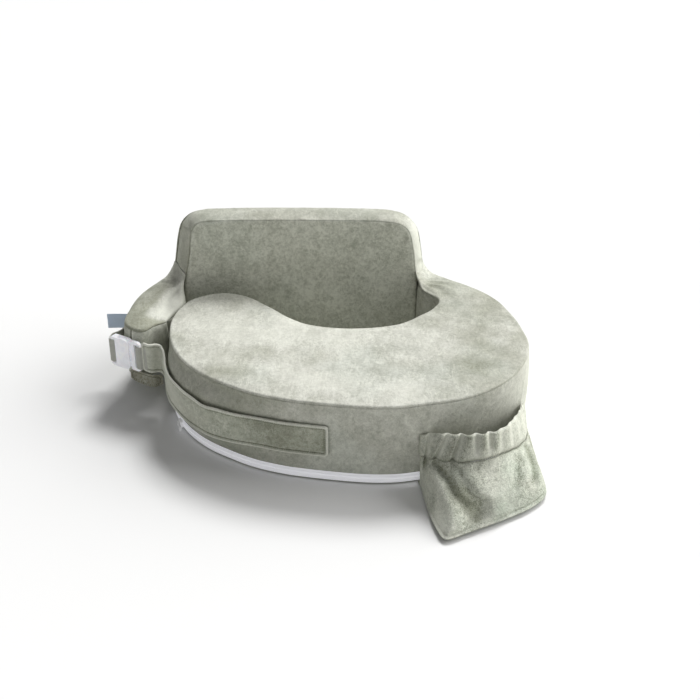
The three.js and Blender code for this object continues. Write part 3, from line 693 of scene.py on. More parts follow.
# The zip and buckle parts below glow a little: painted light on white tape and plastic.
TAPE = woven("zip_tape_weave", srgb(222, 222, 226), srgb(250, 250, 252), pitch_u=1.1,
             pitch_v=0.9, rough=0.75, dist=0.16, diag=True, painted_glow=0.30)
COIL = plastic("zip_coil_nylon", srgb(232, 232, 234), srgb(246, 246, 246),
               rough=0.42, texture=0.05, painted_glow=0.24)
ENAMEL = plastic("zip_white_enamel", srgb(236, 236, 236), srgb(248, 248, 247),
                 rough=0.26, texture=0.03, painted_glow=0.10)
ACETAL = plastic("buckle_acetal", srgb(226, 227, 231), srgb(240, 240, 243),
                 rough=0.36, texture=0.10, sss=0.08, painted_glow=0.14)
WEB = woven("webbing_weave", srgb(150, 151, 142), srgb(214, 215, 206),
            pitch_u=2.2, pitch_v=1.6, rough=0.85, dist=0.35)
ELASTIC = woven("elastic_rib", srgb(196, 196, 190), srgb(238, 238, 234),
                pitch_u=1.8, pitch_v=2.6, rough=0.8, dist=0.4)
THREAD = thread("sage_thread", srgb(206, 208, 192))
THREAD_W = thread("white_thread", srgb(236, 236, 234))
LABEL = satin()

# ------------------------------------------------------------------ ring cover
outer_edge, inner_edge = OUTER.sample(460)[:, :2], INNER.sample(300)[:, :2]
RING_OUTLINE = np.vstack([outer_edge, inner_edge[:-1]])
RING_ROOT = np.array([[123.2, 280.0], [110.4, 221.6]])  # where the backrest stands on it
EDGE_ROWS = (0.12, 0.5, 1.2, 2.2, 3.5, 5.2, 7.4, 10.0)
# Brushed patches of the ring's top, which also paint light and shade on it: nap, centre x, y,
# radius in x, y.
NAP_AND_LIGHT_PATCHES = (
    (-0.8, -178, -66, 46, 34), (-0.45, -90, -20, 60, 26), (-0.4, 60, -60, 50, 22),
    (-0.62, 165, 200, 70, 60), (0.25, 0, -70, 90, 30), (0.35, -120, 60, 80, 60),
    (0.30, 20, -120, 120, 30))


def ring_top():
    plan, faces, _ = flat_cells(RING_OUTLINE, 4.2, EDGE_ROWS)
    p = flat3(plan)
    edge = np.minimum(edge_distance(plan, outer_edge), edge_distance(plan, inner_edge))
    root = edge_distance(plan, RING_ROOT)
    rise = rolled(root, 21.0)
    soft = ramp(edge, 1.5, 12)
    z = TOP - rolled(edge, TOP_ROLL) + rise
    z += 2.6 * (1 - np.exp(-edge / 34)) * (1 - np.exp(-root / 30))
    z += soft * (0.85 * fbm(p, 85, 3, 3) + 0.22 * fbm(p, (26, 15, 20), 5, 2))
    # Seam pull: small dimples close to the sewn edge.
    z += -0.35 * ridge(edge - 7, 4.5) * (0.5 + 0.5 * noise(p, 9, 12))
    # Creases thrown by the backrest where it is sewn into the ring.
    angle, radius = polar(plan, 112.0, 228.0)
    waves = np.sin(angle * 13 + 0.05 * radius + 1.2 * noise(p, 30, 22))
    z += 1.25 * ridge(radius - 34, 26) * waves * smooth(edge / 8)
    z += pile(p) * soft
    o = panel("ring_top_cloth", faces, stack3(plan[:, 0] - rise * 0.17, plan[:, 1], z), PLUSH, UP)
    # Painted light and shade with some brushed nap: the top darker toward the right and in patches.
    nap_and_painted_light = -0.75 * ramp(plan[:, 0], 60, 150) * (0.62 + 0.55 * noise(p, 70, 301))
    for amount, x, y, rx, ry in NAP_AND_LIGHT_PATCHES:
        nap_and_painted_light = nap_and_painted_light + amount * ridge(plan[:, 0] - x, rx) * ridge(plan[:, 1] - y, ry)
    mark(o, "nap_and_painted_light", nap_and_painted_light + 0.32 * fbm(p, 44, 302, 3))
    done(o, "pillow", "plush", "lap_top_panel")


def wall(curve, share, foot, head, bulge, folds, top_r=1.3, foot_r=1.6, rows=44):
    """Outer points of a side band on the right-hand side of a plan curve.
    folds(P, s, dt, db) adds to it; dt and db are the distances from its top and foot."""
    c = curve.at(share)
    s = share[:, None] * curve.length
    w = 0.5 - 0.5 * np.cos(np.linspace(0, np.pi, rows))
    w = 0.55 * w + 0.45 * np.linspace(0, 1, rows)
    z0, z1 = (np.broadcast_to(z, len(share))[:, None] for z in (foot, head))
    Z = z0 + (z1 - z0) * w
    dt, db = z1 - Z, Z - z0
    P = stack3(c[:, None, 0], c[:, None, 1], Z)
    off = -rolled(dt, top_r) - rolled(db, foot_r) + bulge * np.sin(np.pi * w)
    mid = smooth(dt / 9) * smooth(db / 9)
    off = off + mid * (0.55 * fbm(P, 60, 8, 2) + 0.18 * noise(P, (16, 16, 22), 9))
    off = off + pile(P) * smooth(dt / 3) * smooth(db / 3)
    for d, seed in ((dt, 14), (db, 15)):
        off = off + 0.34 * ridge(d - 4.5, 4.0) * line_noise(s, 8.5, seed)
    off = off + folds(P, s, dt, db)
    return P - off[..., None] * left_normals(c)[:, None, :]


ZIP_START, ZIP_END = OUTER.reach((-266, 31)), OUTER.reach((256, 95))
# Belly of the cover under the belt's free run: place x, y and swell.
BELT_BELLY = ((-275, 62, 0.0), (-262, 13, 8.5), (-241, -29, 12.0), (-204, -74, 14.0),
              (-176, -95, 12.5), (-150, -112, 6.5), (-118, -128, 0.0))
# Slanting pulls of the outer band: place x, y, height run, depth, width, lean.
FRONT_PULLS = (
    (88, -152, 46, 1.2, 5.0, 0.62), (66, -157, 40, 0.9, 6.0, 0.75), (108, -148, 34, 1.0, 4.5, 0.45),
    (247, -44, 50, 1.3, 6.0, -0.5), (258, -15, 44, 0.9, 7.0, -0.6), (-150, -115, 26, 0.5, 8.0, 0.5))


def front_folds(P, s, dt, db):
    belly = np.interp(s[:, 0], [OUTER.reach(q) for q in BELT_BELLY], [q[2] for q in BELT_BELLY])
    kernel = np.hanning(25)
    belly = np.convolve(np.pad(belly, 12, mode="edge"), kernel / kernel.sum(), "valid")
    off = belly[:, None] * smooth(dt / 27) * smooth(db / 30)
    for x0, y0, run, depth, width, lean in FRONT_PULLS:
        x = s - OUTER.reach((x0, y0)) + (P[..., 2] - 78) * lean
        where = ridge(P[..., 2] - 88, run) * smooth(dt / 8) * smooth(db / 10)
        off = off + depth * (ridge(x, width) - 0.7 * ridge(x - 1.7 * width, width)) * where
    return off


def outer_band():
    share = np.linspace(0.004, 0.998, 470)
    s = share * OUTER.length
    zipped = ramp(s, ZIP_START - 7, 14) * fade(s, ZIP_END + 7, 14)
    # The band stays flat behind the belt.
    free = np.maximum(ramp(s, OUTER.reach((-30, -155)), 60), fade(s, OUTER.reach((-275, 60)), 60))
    P = wall(OUTER, share, FOOT_Z + (ZIP_TOP - FOOT_Z) * zipped, BAND_TOP,
             2.6 * (0.25 + 0.75 * free)[:, None], front_folds)
    P[-4:, :, :2] += np.array([0.5, 1.3, 2.2, 3.0])[:, None, None] * np.array([-0.68, 0.73])
    o = shell("ring_outer_wall_cloth", P, PLUSH, 1.5)
    # Painted shade on the band's left front, painted light on its right end, with some brushed nap.
    nap_and_painted_light = -0.8 * fade(P[..., 0], -30, 120) * (0.75 + 0.4 * noise(P, 50, 305))
    mark(o, "nap_and_painted_light", nap_and_painted_light + 0.8 * ramp(P[..., 0], 232, 22) + 0.22 * fbm(P, 34, 304, 2))
    done(o, "pillow", "plush", "outer_side_band")


def waist_folds(P, s, dt, db):
    off = 0.0
    for x, y, depth, width in ((139, 172, -2.0, 5.0), (128, 186, 1.3, 5.0),
                               (134, 146, 1.2, 6.0), (118, 203, -1.5, 5.0)):
        run = s - INNER.reach((x, y)) + 0.12 * (P[..., 2] - 60)
        off = off + depth * ridge(run, width) * smooth(dt / 12) * smooth(db / 14)
    return off


def waist_band():
    P = wall(INNER, np.linspace(0.0, 0.996, 300), FOOT_Z, BAND_TOP, 2.2, waist_folds, rows=38)
    P[:4, :, 1] += np.array([3.8, 2.6, 1.3, 0.4])[:, None]
    done(shell("ring_waist_wall_cloth", P, PLUSH, 1.5), "pillow", "plush", "waist_side_band")


def ring_base():
    plan, faces, _ = flat_cells(RING_OUTLINE, 7.0, (0.12, 0.6, 1.4, 2.6, 4.5, 7.5))
    edge = edge_distance(plan, RING_OUTLINE, True)
    z = 0.25 + rolled(edge, 2.6)
    z += 0.5 * ramp(edge, 8, 20) * (0.5 + 0.5 * fbm(flat3(plan), 50, 17, 2))
    o = panel("ring_base_cloth", faces, np.column_stack([plan, z]), PLUSH_BASE, DOWN, 1.4)
    done(o, "pillow", "base_cloth", "ring_base_panel")


ring_top()
outer_band()
waist_band()
ring_base()

# ------------------------------------------------------------------ backrest cover
front_line, rear_line = (Curve(side, 22).points[:, :2] for side in (FRONT_SIDE, REAR_SIDE))
side_run = run_length((front_line + rear_line) / 2)
SIDE_LENGTH = side_run[-1]


def side_at(s, t):
    """Point (x, z) on the gusset at length s from the right and depth share t."""
    index = np.arange(len(side_run))
    k = np.interp(s, side_run, index)
    front, rear = interp_rows(k, index, front_line), interp_rows(k, index, rear_line)
    return front + (rear - front) * t


def back_outline(t):
    upper = side_at(np.linspace(0, SIDE_LENGTH, 260), t)
    return np.vstack([[upper[-1, 0], 2.2], [upper[0, 0], 2.2], upper])


def back_panel(name, t, y, sign, crown, seed, nodes, folds=None):
    outline = back_outline(t)
    plan, faces, _ = flat_cells(outline, 4.2, (0.12, 0.5, 1.1, 2.0, 3.2, 5.0, 7.5))
    d = edge_distance(plan, resample(outline, 1.5), True)
    low = smooth(plan[:, 1] / 30)
    soft = ramp(d, 1.5, 14)
    p = stack3(plan[:, 0], y, plan[:, 1])
    h = crown * (1 - np.exp(-d / 36)) * (0.35 + 0.65 * low) - rolled(d, 3.6)
    h = h + soft * (0.9 * fbm(p, 80, seed, 3) + 0.25 * noise(p, (18, 18, 30), seed + 3))
    h = h + pile(p) * soft + 0.42 * ridge(d - 6, 4.5) * noise(p, 9.5, seed + 5)
    if folds:
        h = h + folds(plan, d)
    outer = stack3(plan[:, 0], y + sign * h, plan[:, 1])
    done(panel(name, faces, outer, PLUSH_BACK, (0, sign, 0)), BEND, "plush", *nodes)


def front_puckers(plan, d):
    """Pulls that fan out of the two upper corners and run down beside the left seam."""
    off = 0.0
    for x, z, count, depth, phase in ((-247, 226, 11, 1.0, 0.4), (97, 219, 10, 0.8, 1.1)):
        angle, r = polar(plan, x, z)
        off = off + depth * np.sin(angle * count + phase) * ridge(r - 26, 20) * smooth(d / 5)
    x = plan[:, 0] + 262 - (plan[:, 1] - 150) * 0.10
    where = ramp(plan[:, 1], 120, 40) * fade(plan[:, 1], 215, 40)
    return off + (0.9 * ridge(x - 24, 7) - 1.3 * ridge(x - 13, 5)) * where


def gusset():
    """The band over the backrest's top and down both ends."""
    s = np.linspace(6, SIDE_LENGTH - 6, 300)[:, None]
    t = np.linspace(0, 1, 34)
    t = 0.5 * (0.5 - 0.5 * np.cos(np.pi * t)) + 0.5 * t
    y0, y1 = BACK_FRONT + 4.0, BACK_REAR - 4.0
    y = y0 + (y1 - y0) * t
    xz = side_at(s, ((y - BACK_FRONT) / (BACK_REAR - BACK_FRONT))[:, None])
    G = stack3(xz[..., 0], y, xz[..., 1])
    normals = grid_normals(G)
    if normals[150, 17, 2] < 0:
        normals = -normals
    d = np.minimum(t, 1 - t) * (y1 - y0)
    bow = np.sin(np.pi * t)
    off = 2.6 * bow - rolled(d, 2.2)
    off = off + smooth(d / 6) * (0.7 * fbm(G, 55, 81, 2) + 0.3 * noise(G, (20, 26, 20), 82))
    off = off + pile(G) * smooth(d / 3)
    off = off + 0.5 * ridge(d - 5, 4.5) * noise(stack3(s, 0.0, t * 3), 10, 83)
    # Crosswise pulls at the two upper corners and at the feet.
    for place, depth in ((112, 0.8), (SIDE_LENGTH - 112, 1.2), (SIDE_LENGTH - 26, 1.8), (24, 1.6)):
        x = s - place + (t - 0.5) * 10
        off = off + depth * (0.6 * ridge(x - 10, 6) - ridge(x, 5)) * bow
    G = G + off[..., None] * normals
    o = shell("backrest_gusset_cloth", G, PLUSH, 1.5, outward=UP)
    # Painted light and shade: the gusset's right end paler, the rest a little darker.
    mark(o, "nap_and_painted_light", -0.48 * fade(G[..., 0], 110, 30) + 0.9 * ramp(G[..., 0], 92, 14)
         + 0.2 * fbm(G, 30, 306, 2))
    done(o, BEND, "plush", "backrest_gusset")


def back_base():
    across = np.linspace(0, 1, 70)[:, None]
    depth = np.concatenate([[0, 0.01, 0.03], np.linspace(0.07, 0.93, 14), [0.97, 0.99, 1]])
    y = BACK_FRONT + 0.8 + (BACK_REAR - BACK_FRONT - 1.6) * depth
    k = (y - BACK_FRONT) / (BACK_REAR - BACK_FRONT)
    left, right = (FRONT_SIDE[i][0] + k * (REAR_SIDE[i][0] - FRONT_SIDE[i][0]) for i in (-1, 0))
    left, right = left + 0.8, right - 0.8
    B = stack3(left + (right - left) * across, y, 0.0)
    d = np.minimum(np.minimum(depth, 1 - depth) * 56, np.minimum(across, 1 - across) * 390)
    B[..., 2] = 0.3 + rolled(d, 1.8) + 0.3 * (fbm(B, 40, 91, 2) + 1) * smooth(d / 10)
    o = shell("backrest_base_cloth", B, PLUSH_BASE, 1.3, outward=DOWN)
    done(o, BEND, "base_cloth", "backrest_base_panel")


back_panel("backrest_front_cloth", 0.0, BACK_FRONT + 3.6, -1, crown=3.2, seed=61,
           nodes=("backrest_front_panel",), folds=front_puckers)
back_panel("backrest_rear_cloth", 1.0, BACK_REAR - 3.6, 1, crown=2.6, seed=71,
           nodes=("backrest_rear_panel", "backrest_end_cover"))
gusset()
back_base()

# ------------------------------------------------------------------ wrap arm
ARM_OUTLINE = ARM.sample(260)[:, :2]
ARM_ROOT = np.array([[-298.4, 279.4], [-273.2, 221.6]])
ARM_TOP = TOP - 2.0
ARM_SLOPE = 44.0 / (222.0 - 66.0)
ARM_SEAM = ARM.reach((-336, 75)) + 4  # upright seam at the tip
# Tucks on the side next to the ring: y, depth, width.
ARM_TUCKS = ((118, -2.6, 5.0), (132, 1.5, 5.0), (150, -2.0, 6.0), (172, 1.2, 7.0), (96, 1.2, 6.0))


def arm_lift(y):
    """Height of the arm's underside, which rises toward the tip."""
    return np.maximum(0, 222 - y) * ARM_SLOPE


def arm_fill(p):
    """The cover of the side next to the ring swells toward it, along +x."""
    x, y = p[..., 0], p[..., 1]
    return ramp(x, -312, 12) * 11.0 * ramp(y, 78, 30) * fade(y, 176, 34)


def arm_roll(y):
    return 3.2 + 4.8 * ramp(y, 92, 50)


def arm_top():
    plan, faces, _ = flat_cells(ARM_OUTLINE, 3.6, EDGE_ROWS)
    edge, root = edge_distance(plan, ARM_OUTLINE), edge_distance(plan, ARM_ROOT)
    x, y = plan.T
    p = flat3(plan)
    rise = rolled(root, 20.0)
    radius = arm_roll(y)
    z = ARM_TOP - rolled(edge / radius, 1.0) * radius + rise
    z += 5.0 * (1 - np.exp(-edge / 18)) * (1 - np.exp(-root / 22))
    soft = ramp(edge, 1, 10)
    z += soft * (0.8 * fbm(p, 60, 101, 2) + 0.25 * fbm(p, 20, 102, 2)) + pile(p) * soft
    # Creases running in from the root, and a long dent beside the ring.
    angle, r = polar(plan, -276.0, 226.0)
    z += 1.6 * ridge(r - 26, 18) * np.sin(angle * 9 + 0.06 * r) * soft
    z -= 2.6 * ridge(x + 293 - (y - 150) * 0.22, 7.0) * ramp(y, 84, 30) * fade(y, 215, 40)
    z -= 0.4 * ridge(edge - 9, 5) * (0.5 + 0.5 * noise(p, 10, 105))
    swell = arm_fill(plan) * ridge(edge, 16)
    z -= 0.35 * swell
    outer = stack3(x + rise * 0.2 + swell + 1.6 * np.exp(-root / 3.0), y, z)
    o = panel("arm_top_cloth", faces, outer, PLUSH, UP)
    # Painted light on the inner top beside the ring, painted shade on the rest and toward the root.
    nap_and_painted_light = -0.95 + 2.6 * ramp(x + 305 - (y - 130) * 0.26, -14, 28) * ramp(y, 96, 34)
    nap_and_painted_light = nap_and_painted_light + 0.3 * fbm(p, 30, 303, 2)
    rear = ramp(y, 205, 40)
    mark(o, "nap_and_painted_light", nap_and_painted_light * (1 - rear) - 0.25 * rear)
    done(o, "wrap_arm", "plush", "arm_top_panel")


def arm_folds(P, s, dt, db):
    x = s - ARM_SEAM
    off = -1.7 * ridge(x, 1.5) + 0.7 * ridge(x - 3.4, 2.2) + 0.5 * ridge(x + 3.4, 2.2)
    for y, depth, width in ARM_TUCKS:
        run = s - ARM.reach((-290 + (y - 118) * 0.5, y)) + 0.15 * (P[..., 2] - 80)
        off = off + depth * ridge(run, width) * smooth(dt / 6) * smooth(db / 14)
    return off


def arm_band():
    share = np.linspace(0, 1, 400)
    c = ARM.at(share)
    head = ARM_TOP - arm_roll(c[:, 1]) - 0.3 - 0.35 * arm_fill(c)
    P = wall(ARM, share, FOOT_Z + arm_lift(c[:, 1]), head, 2.4, arm_folds,
             top_r=1.4, foot_r=2.2, rows=40)
    P[..., 0] += arm_fill(c)[:, None] * (0.35 + 0.65 * ramp(P[..., 2], 20, 70))
    P[:5, :, :2] += np.array([2.6, 2.1, 1.5, 0.8, 0.3])[:, None, None] * np.array([0.35, 0.94])
    o = shell("arm_wall_cloth", P, PLUSH, 1.5)
    x, y, z = P[..., 0], P[..., 1], P[..., 2]
    seam = (share * ARM.length - ARM_SEAM)[:, None] + 0 * z
    # Painted shade down the tip seam and painted highlights on its lips; painted light on the side
    # facing the ring.
    mark(o, "groove", 1.2 * ridge(seam, 1.5))
    ring_side = ramp(x, -316, 14) * ramp(y, 84, 26) * fade(y, 200, 30) * ramp(z, 30, 50)
    mark(o, "nap_and_painted_light", 2.6 * ring_side + 1.1 * ridge(seam - 3.6, 1.8) + 0.8 * ridge(seam + 3.4, 1.6))
    done(o, "wrap_arm", "plush", "arm_side_band")


def arm_base():
    plan, faces, _ = flat_cells(ARM_OUTLINE, 6.0, (0.12, 0.6, 1.4, 2.6, 4.5))
    edge = edge_distance(plan, ARM_OUTLINE)
    z = 0.4 + arm_lift(plan[:, 1]) + rolled(edge, 2.6)
    z += 0.3 * fbm(flat3(plan), 40, 111, 2) * smooth(edge / 8)
    o = panel("arm_base_cloth", faces, np.column_stack([plan, z]), PLUSH_BASE, DOWN, 1.4)
    done(o, "wrap_arm", "base_cloth", "arm_base_panel")


arm_top()
arm_band()
arm_base()


# ------------------------------------------------------------------ foam cores
def foam_plan(outline, inset, step, seed):
    """Plan points, triangles, and how far each layer draws in at the point."""
    plan, faces, edge = flat_cells(shrink(outline, inset), step, (0.5, 1.6, 3.4, 6.0))
    drop = rolled(edge_distance(plan, edge, True), 6.0)
    return plan, faces, drop, 0.25 * fbm(flat3(plan), 18, seed, 2)


plan, faces, drop, grain = foam_plan(RING_OUTLINE, 7.0, 9.0, 131)
done(solid_between("ring_foam_core", faces, np.column_stack([plan, TOP - 7.5 - drop + grain]),
                   np.column_stack([plan, 4.2 + drop + grain]), FOAM),
     "pillow", "foam", "ring_foam")

plan, faces, drop, grain = foam_plan(ARM_OUTLINE, 7.0, 7.0, 132)
done(solid_between("wrap_arm_foam_core", faces, np.column_stack([plan, TOP - 13.0 - drop + grain]),
                   np.column_stack([plan, 5.0 + arm_lift(plan[:, 1]) + drop + grain]), FOAM),
     "wrap_arm", "foam", "wrap_arm_foam")

plan, faces, drop, grain = foam_plan(back_outline(0.5), 8.0, 8.0, 133)
foam_x, foam_z = plan[:, 0], np.maximum(plan[:, 1], 4.0)
done(solid_between("backrest_foam_core", faces,
                   stack3(foam_x * 0.955 - 5.0, BACK_FRONT + 8.5 + drop + grain, foam_z),
                   stack3(foam_x * 0.985 - 2.0, BACK_REAR - 8.0 - drop + grain, foam_z), FOAM),
     BEND, "foam", "backrest_foam", "backrest_end_foam")

# ------------------------------------------------------------------ thread and ribbon
# Sections of one stitch: place along it, radius share, lift share.
STITCH_SECTIONS = ((-0.5, 0.35, -0.35), (-0.3, 0.9, 0.2), (0.0, 1.0, 0.35),
                   (0.3, 0.9, 0.2), (0.5, 0.35, -0.35))


def stitches(name, points, outward, mat, pitch=3.3, length=2.3, r=0.4):
    """Row of raised stitches along points; outward points away from the cloth."""
    run = run_length(points)
    n = int(run[-1] / pitch)
    c = (np.arange(n) + 0.5) * run[-1] / n
    P, out = interp_rows(c, run, points), unit(interp_rows(c, run, outward))
    along = unit(interp_rows(np.minimum(c + 0.6, run[-1]), run, points)
                 - interp_rows(np.maximum(c - 0.6, 0), run, points))
    side = np.cross(along, out)
    sides = 6
    verts = []
    for place, radius, lift in STITCH_SECTIONS:
        for j in range(sides):
            w = 2 * math.pi * j / sides
            verts.append(P + along * (place * length)
                         + out * (r * (lift - 0.1) + r * radius * math.sin(w) * 0.8)
                         + side * (r * radius * math.cos(w)))
    last = (len(STITCH_SECTIONS) - 1) * sides
    one = grid_faces(len(STITCH_SECTIONS), sides, closed=True)
    one = [[a, d, c, b] for a, b, c, d in one]
    one += [list(range(sides))[::-1], [last + j for j in range(sides)]]
    faces = [[q + i * len(verts) for q in f] for i in range(n) for f in one]
    return mesh_object(name, np.stack(verts, 1).reshape(-1, 3), faces, mat)


def webbing(name, path, width=38.0, thick=1.6, edge=0.6):
    """Flat strap along path with its width upright and rounded selvedges."""
    out = unit(np.cross(unit(np.gradient(path, axis=0)), UP))
    W, T = width / 2, thick / 2
    flat = np.linspace(-W + edge, W - edge, 9)
    near = W - edge * 0.3
    profile = ([(-W, 0.0), (-near, T * 0.75)] + [(a, T) for a in flat]
               + [(near, T * 0.75), (W, 0.0), (near, -T * 0.75)]
               + [(a, -T) for a in flat[::-1]] + [(-near, -T * 0.75)])
    o = tube(name, np.stack([path + np.array(UP) * a + out * b for a, b in profile], 1), WEB)
    mark_weave(o, run_length(path)[:, None], np.array([a for a, b in profile]))
    return o


# ------------------------------------------------------------------ zip
zip_share = np.linspace(ZIP_START / OUTER.length, ZIP_END / OUTER.length, 420)
zip_path = OUTER.at(zip_share)
zip_out = -left_normals(zip_path)


def tape(name, z_lo, z_hi, foot_out, head_out, node):
    v = np.linspace(0, 1, 9)
    Z = z_lo + (z_hi - z_lo) * v
    out = foot_out + (head_out - foot_out) * v + 0.45 * np.sin(np.pi * v)
    P = zip_path[:, None, :] + zip_out[:, None, :] * out[None, :, None]
    s = (zip_share * OUTER.length)[:, None]
    P[..., 2] = Z + 0.12 * line_noise(s, 16, 141)
    o = shell(name, P, TAPE, 0.7)
    mark_weave(o, s, Z)
    done(o, "pillow", "zip_tape", node)


def coil():
    """Interlocked coil: two rows of teeth that bulge in turn, 1.7 mm apart."""
    start, end = zip_share[0], zip_share[-1]
    count = int((end - start) * OUTER.length / 0.42)
    share = np.linspace(start + 0.003, end - 0.003, count)
    path = OUTER.at(share)
    out = -left_normals(path)
    phase = 2 * np.pi * (share * OUTER.length) / 1.7
    rings = []
    for w in 2 * np.pi * np.arange(8) / 8:
        up = math.sin(w)
        if abs(up) > 0.2:
            r = 1.25 + 0.24 * np.sin(phase if up >= 0 else phase + np.pi)
        else:
            r = np.full(count, 1.25 - 0.35)
        p = path + out * (1.15 + r * math.cos(w) * 0.8)[:, None]
        p[:, 2] = 8.75 + r * up
        rings.append(p)
    done(tube("zip_coil_teeth", np.stack(rings, 1), COIL), "pillow", "zip_coil", "zipper_coil")


tape("zip_tape_lower_weave", 2.6, 8.0, 0.1, 0.9, "zipper_tape_lower")
tape("zip_tape_upper_weave", 9.5, 16.2, 0.9, -0.3, "zipper_tape_upper")
coil()
for name, z in (("zip_tape_stitching", 13.4), ("zip_tape_lower_stitching", 4.6)):
    row = zip_path + zip_out * 0.95
    row[:, 2] = z
    done(stitches(name, row[6:-6], zip_out[6:-6], THREAD_W, pitch=3.2, length=2.2, r=0.32),
         "pillow", "zip_tape")
moulded("zipper_stop", "zip_stop_block", ENAMEL, 0.4, "pillow", "zip_coil")
moulded("zipper_slider", "zip_slider_body", ENAMEL, 0.5, "zip_slider", "zip_metal")
moulded("zipper_pull", "zip_pull_tab", ENAMEL, 0.35, "zip_pull", "zip_metal")

# ------------------------------------------------------------------ belt
# Centre lines (x, y, z), from the ring's front leftward to the buckle.
BELT = Curve([
    (-30, -155.2, 68), (-54, -150.6, 68), (-95, -141.2, 68), (-132, -128, 68),
    (-165, -119, 68.5), (-196, -105, 69), (-219, -86, 70), (-243, -57, 71), (-263, -24, 73),
    (-273, 5, 76), (-277, 27, 80), (-281, 42, 83), (-286, 49, 85), (-293.5, 48.5, 86.5),
    (-300.5, 44.8, 87.5), (-307.1, 46.9, 88), (-314.6, 51.1, 88)])
TAIL = Curve([
    (-285.8, 46.5, 49), (-292.3, 46.5, 49), (-299, 43.8, 49.3), (-305.6, 45.6, 49.6),
    (-313, 50.1, 49.7), (-323.3, 56.1, 49.7), (-332, 61.2, 49.7), (-338, 64.7, 49.7)])
BELT_HALF = 25.0                # half the belt's width
BELT_STITCH = BELT_HALF - 4.6   # stitch rows either side of its middle


def around(front, back):
    """Front columns, then the back ones in return without the shared edges."""
    return np.concatenate([front, back[:, ::-1][:, 1:-1]], 1)


def sleeve(name, curve, half, count, mat, puff, rim, corner, band, seed, rise, shift=None):
    """Flattened plush tube: a rolled rim band wide, a stitched groove, a padded middle.
    rise(S, W) moves it up, shift(S, W) moves it outward."""
    length = curve.length
    u = np.concatenate([[0, 0.0008, 0.002, 0.004, 0.006, 0.009], np.linspace(0.012, 0.988, count),
                        [0.991, 0.994, 0.996, 0.998, 0.9992, 1.0]])
    c = curve.at(u)
    normals = left_normals(c)
    a = np.linspace(-1, 1, 37)
    w = half * np.sin(a * np.pi / 2) * 0.35 + half * a * 0.65
    S, W = np.broadcast_arrays((u * length)[:, None], w)
    # Distance d in from the edge, with rounded corners.
    qx = np.abs(W) - half + corner
    qs = corner - np.minimum(S, length - S)
    out = np.hypot(np.maximum(qx, 0), np.maximum(qs, 0)) + np.minimum(np.maximum(qx, qs), 0)
    d = np.maximum(corner - out, 0)
    p = stack3(S, W, 0.0)
    r = (band - 0.6) / 2
    bead = rim * np.sqrt(np.maximum(1 - ((np.clip(d, 0, 2 * r) - r) / r) ** 2, 0))
    edge_face = bead + 0.15 * smooth(d) + 0.25 * ramp(d, band - 1.4, 1.4)
    middle = 0.4 + puff * (1 - np.exp(-np.maximum(d - band, 0) / 4.5))
    padded = ramp(d, band, 5)
    face = np.where(d < band, edge_face, middle)
    face = face + padded * (0.35 * fbm(p, (34, 22, 20), seed, 2) + 0.16 * noise(p, 8, seed + 1))
    face = face + 0.22 * ridge(d - band, 2.6) * noise(p, (7, 30, 7), seed + 2)
    rear = 0.75 * smooth(d / 2.0) + 0.6 * padded
    # Points beyond a rounded corner are pulled back in.
    seat = W - np.sign(W) * np.maximum(out - corner, 0) * 0.75
    base = c[:, None, :] + np.zeros((1, len(w), 1))
    base[..., 2] += seat + rise(S, W)
    if shift:
        base = base + normals[:, None, :] * shift(S, seat)[..., None]
    front = base + normals[:, None, :] * face[..., None]
    o = tube(name, around(front, base - normals[:, None, :] * rear[..., None]), mat)
    # Painted highlight on the rolled rims, and painted shade along the stitched groove.
    edge = 1 - ramp(d, 1.2, band - 1.8)
    mark(o, "rim", around(edge, edge * 0.6))
    groove = ridge(d - band - 0.1, 0.75)
    mark(o, "groove", around(groove, 0 * groove))
    return SimpleNamespace(obj=o, S=S, W=W, seat=seat, front=front, normals=normals)


def belt_rise(S, W):
    wander = 1.5 * line_noise(S, 26, 163) + 0.9 * line_noise(S, 11, 164)
    return smooth(W / BELT_HALF) * wander * ramp(S, 110, 60) * fade(S, BELT.length, 24)


def belt_shift(S, W):
    up = np.clip(W / BELT_HALF, -1, 1)
    curl = 0.7 * up * up * np.sign(up) * (0.3 + line_noise(S, 52, 160))
    wave = (curl + 0.6 * line_noise(S, 34, 161)) * ramp(S, 150, 120)
    return wave * fade(S, BELT.length, 30) - 1.4 * (1 - smooth(S / 120))


def tail_rise(S, W):
    return -2.6 * np.sin(np.pi * np.clip(S / TAIL.length, 0, 1)) * fade(W, 6, 14)


def long_row(strap, across, margin, length):
    """Points and normals along a sleeve's outer face at one width."""
    points = np.array([interp_rows(np.clip(across, seat.min(), seat.max()), seat, face)
                       for seat, face in zip(strap.seat, strap.front)])
    s = strap.S[:, 0]
    keep = (s >= margin) & (s <= length - margin)
    return points[keep], strap.normals[keep]


def cross_row(strap, s, half):
    i = int(np.argmin(np.abs(strap.S[:, 0] - s)))
    points = interp_rows(np.linspace(-half, half, 24), strap.seat[i], strap.front[i])
    return points, np.repeat(strap.normals[i][None, :], 24, 0)


belt = sleeve("belt_sleeve", BELT, BELT_HALF, 260, PLUSH_BELT, puff=2.4, rim=2.4, corner=7.0,
              band=5.2, seed=150, rise=belt_rise, shift=belt_shift)
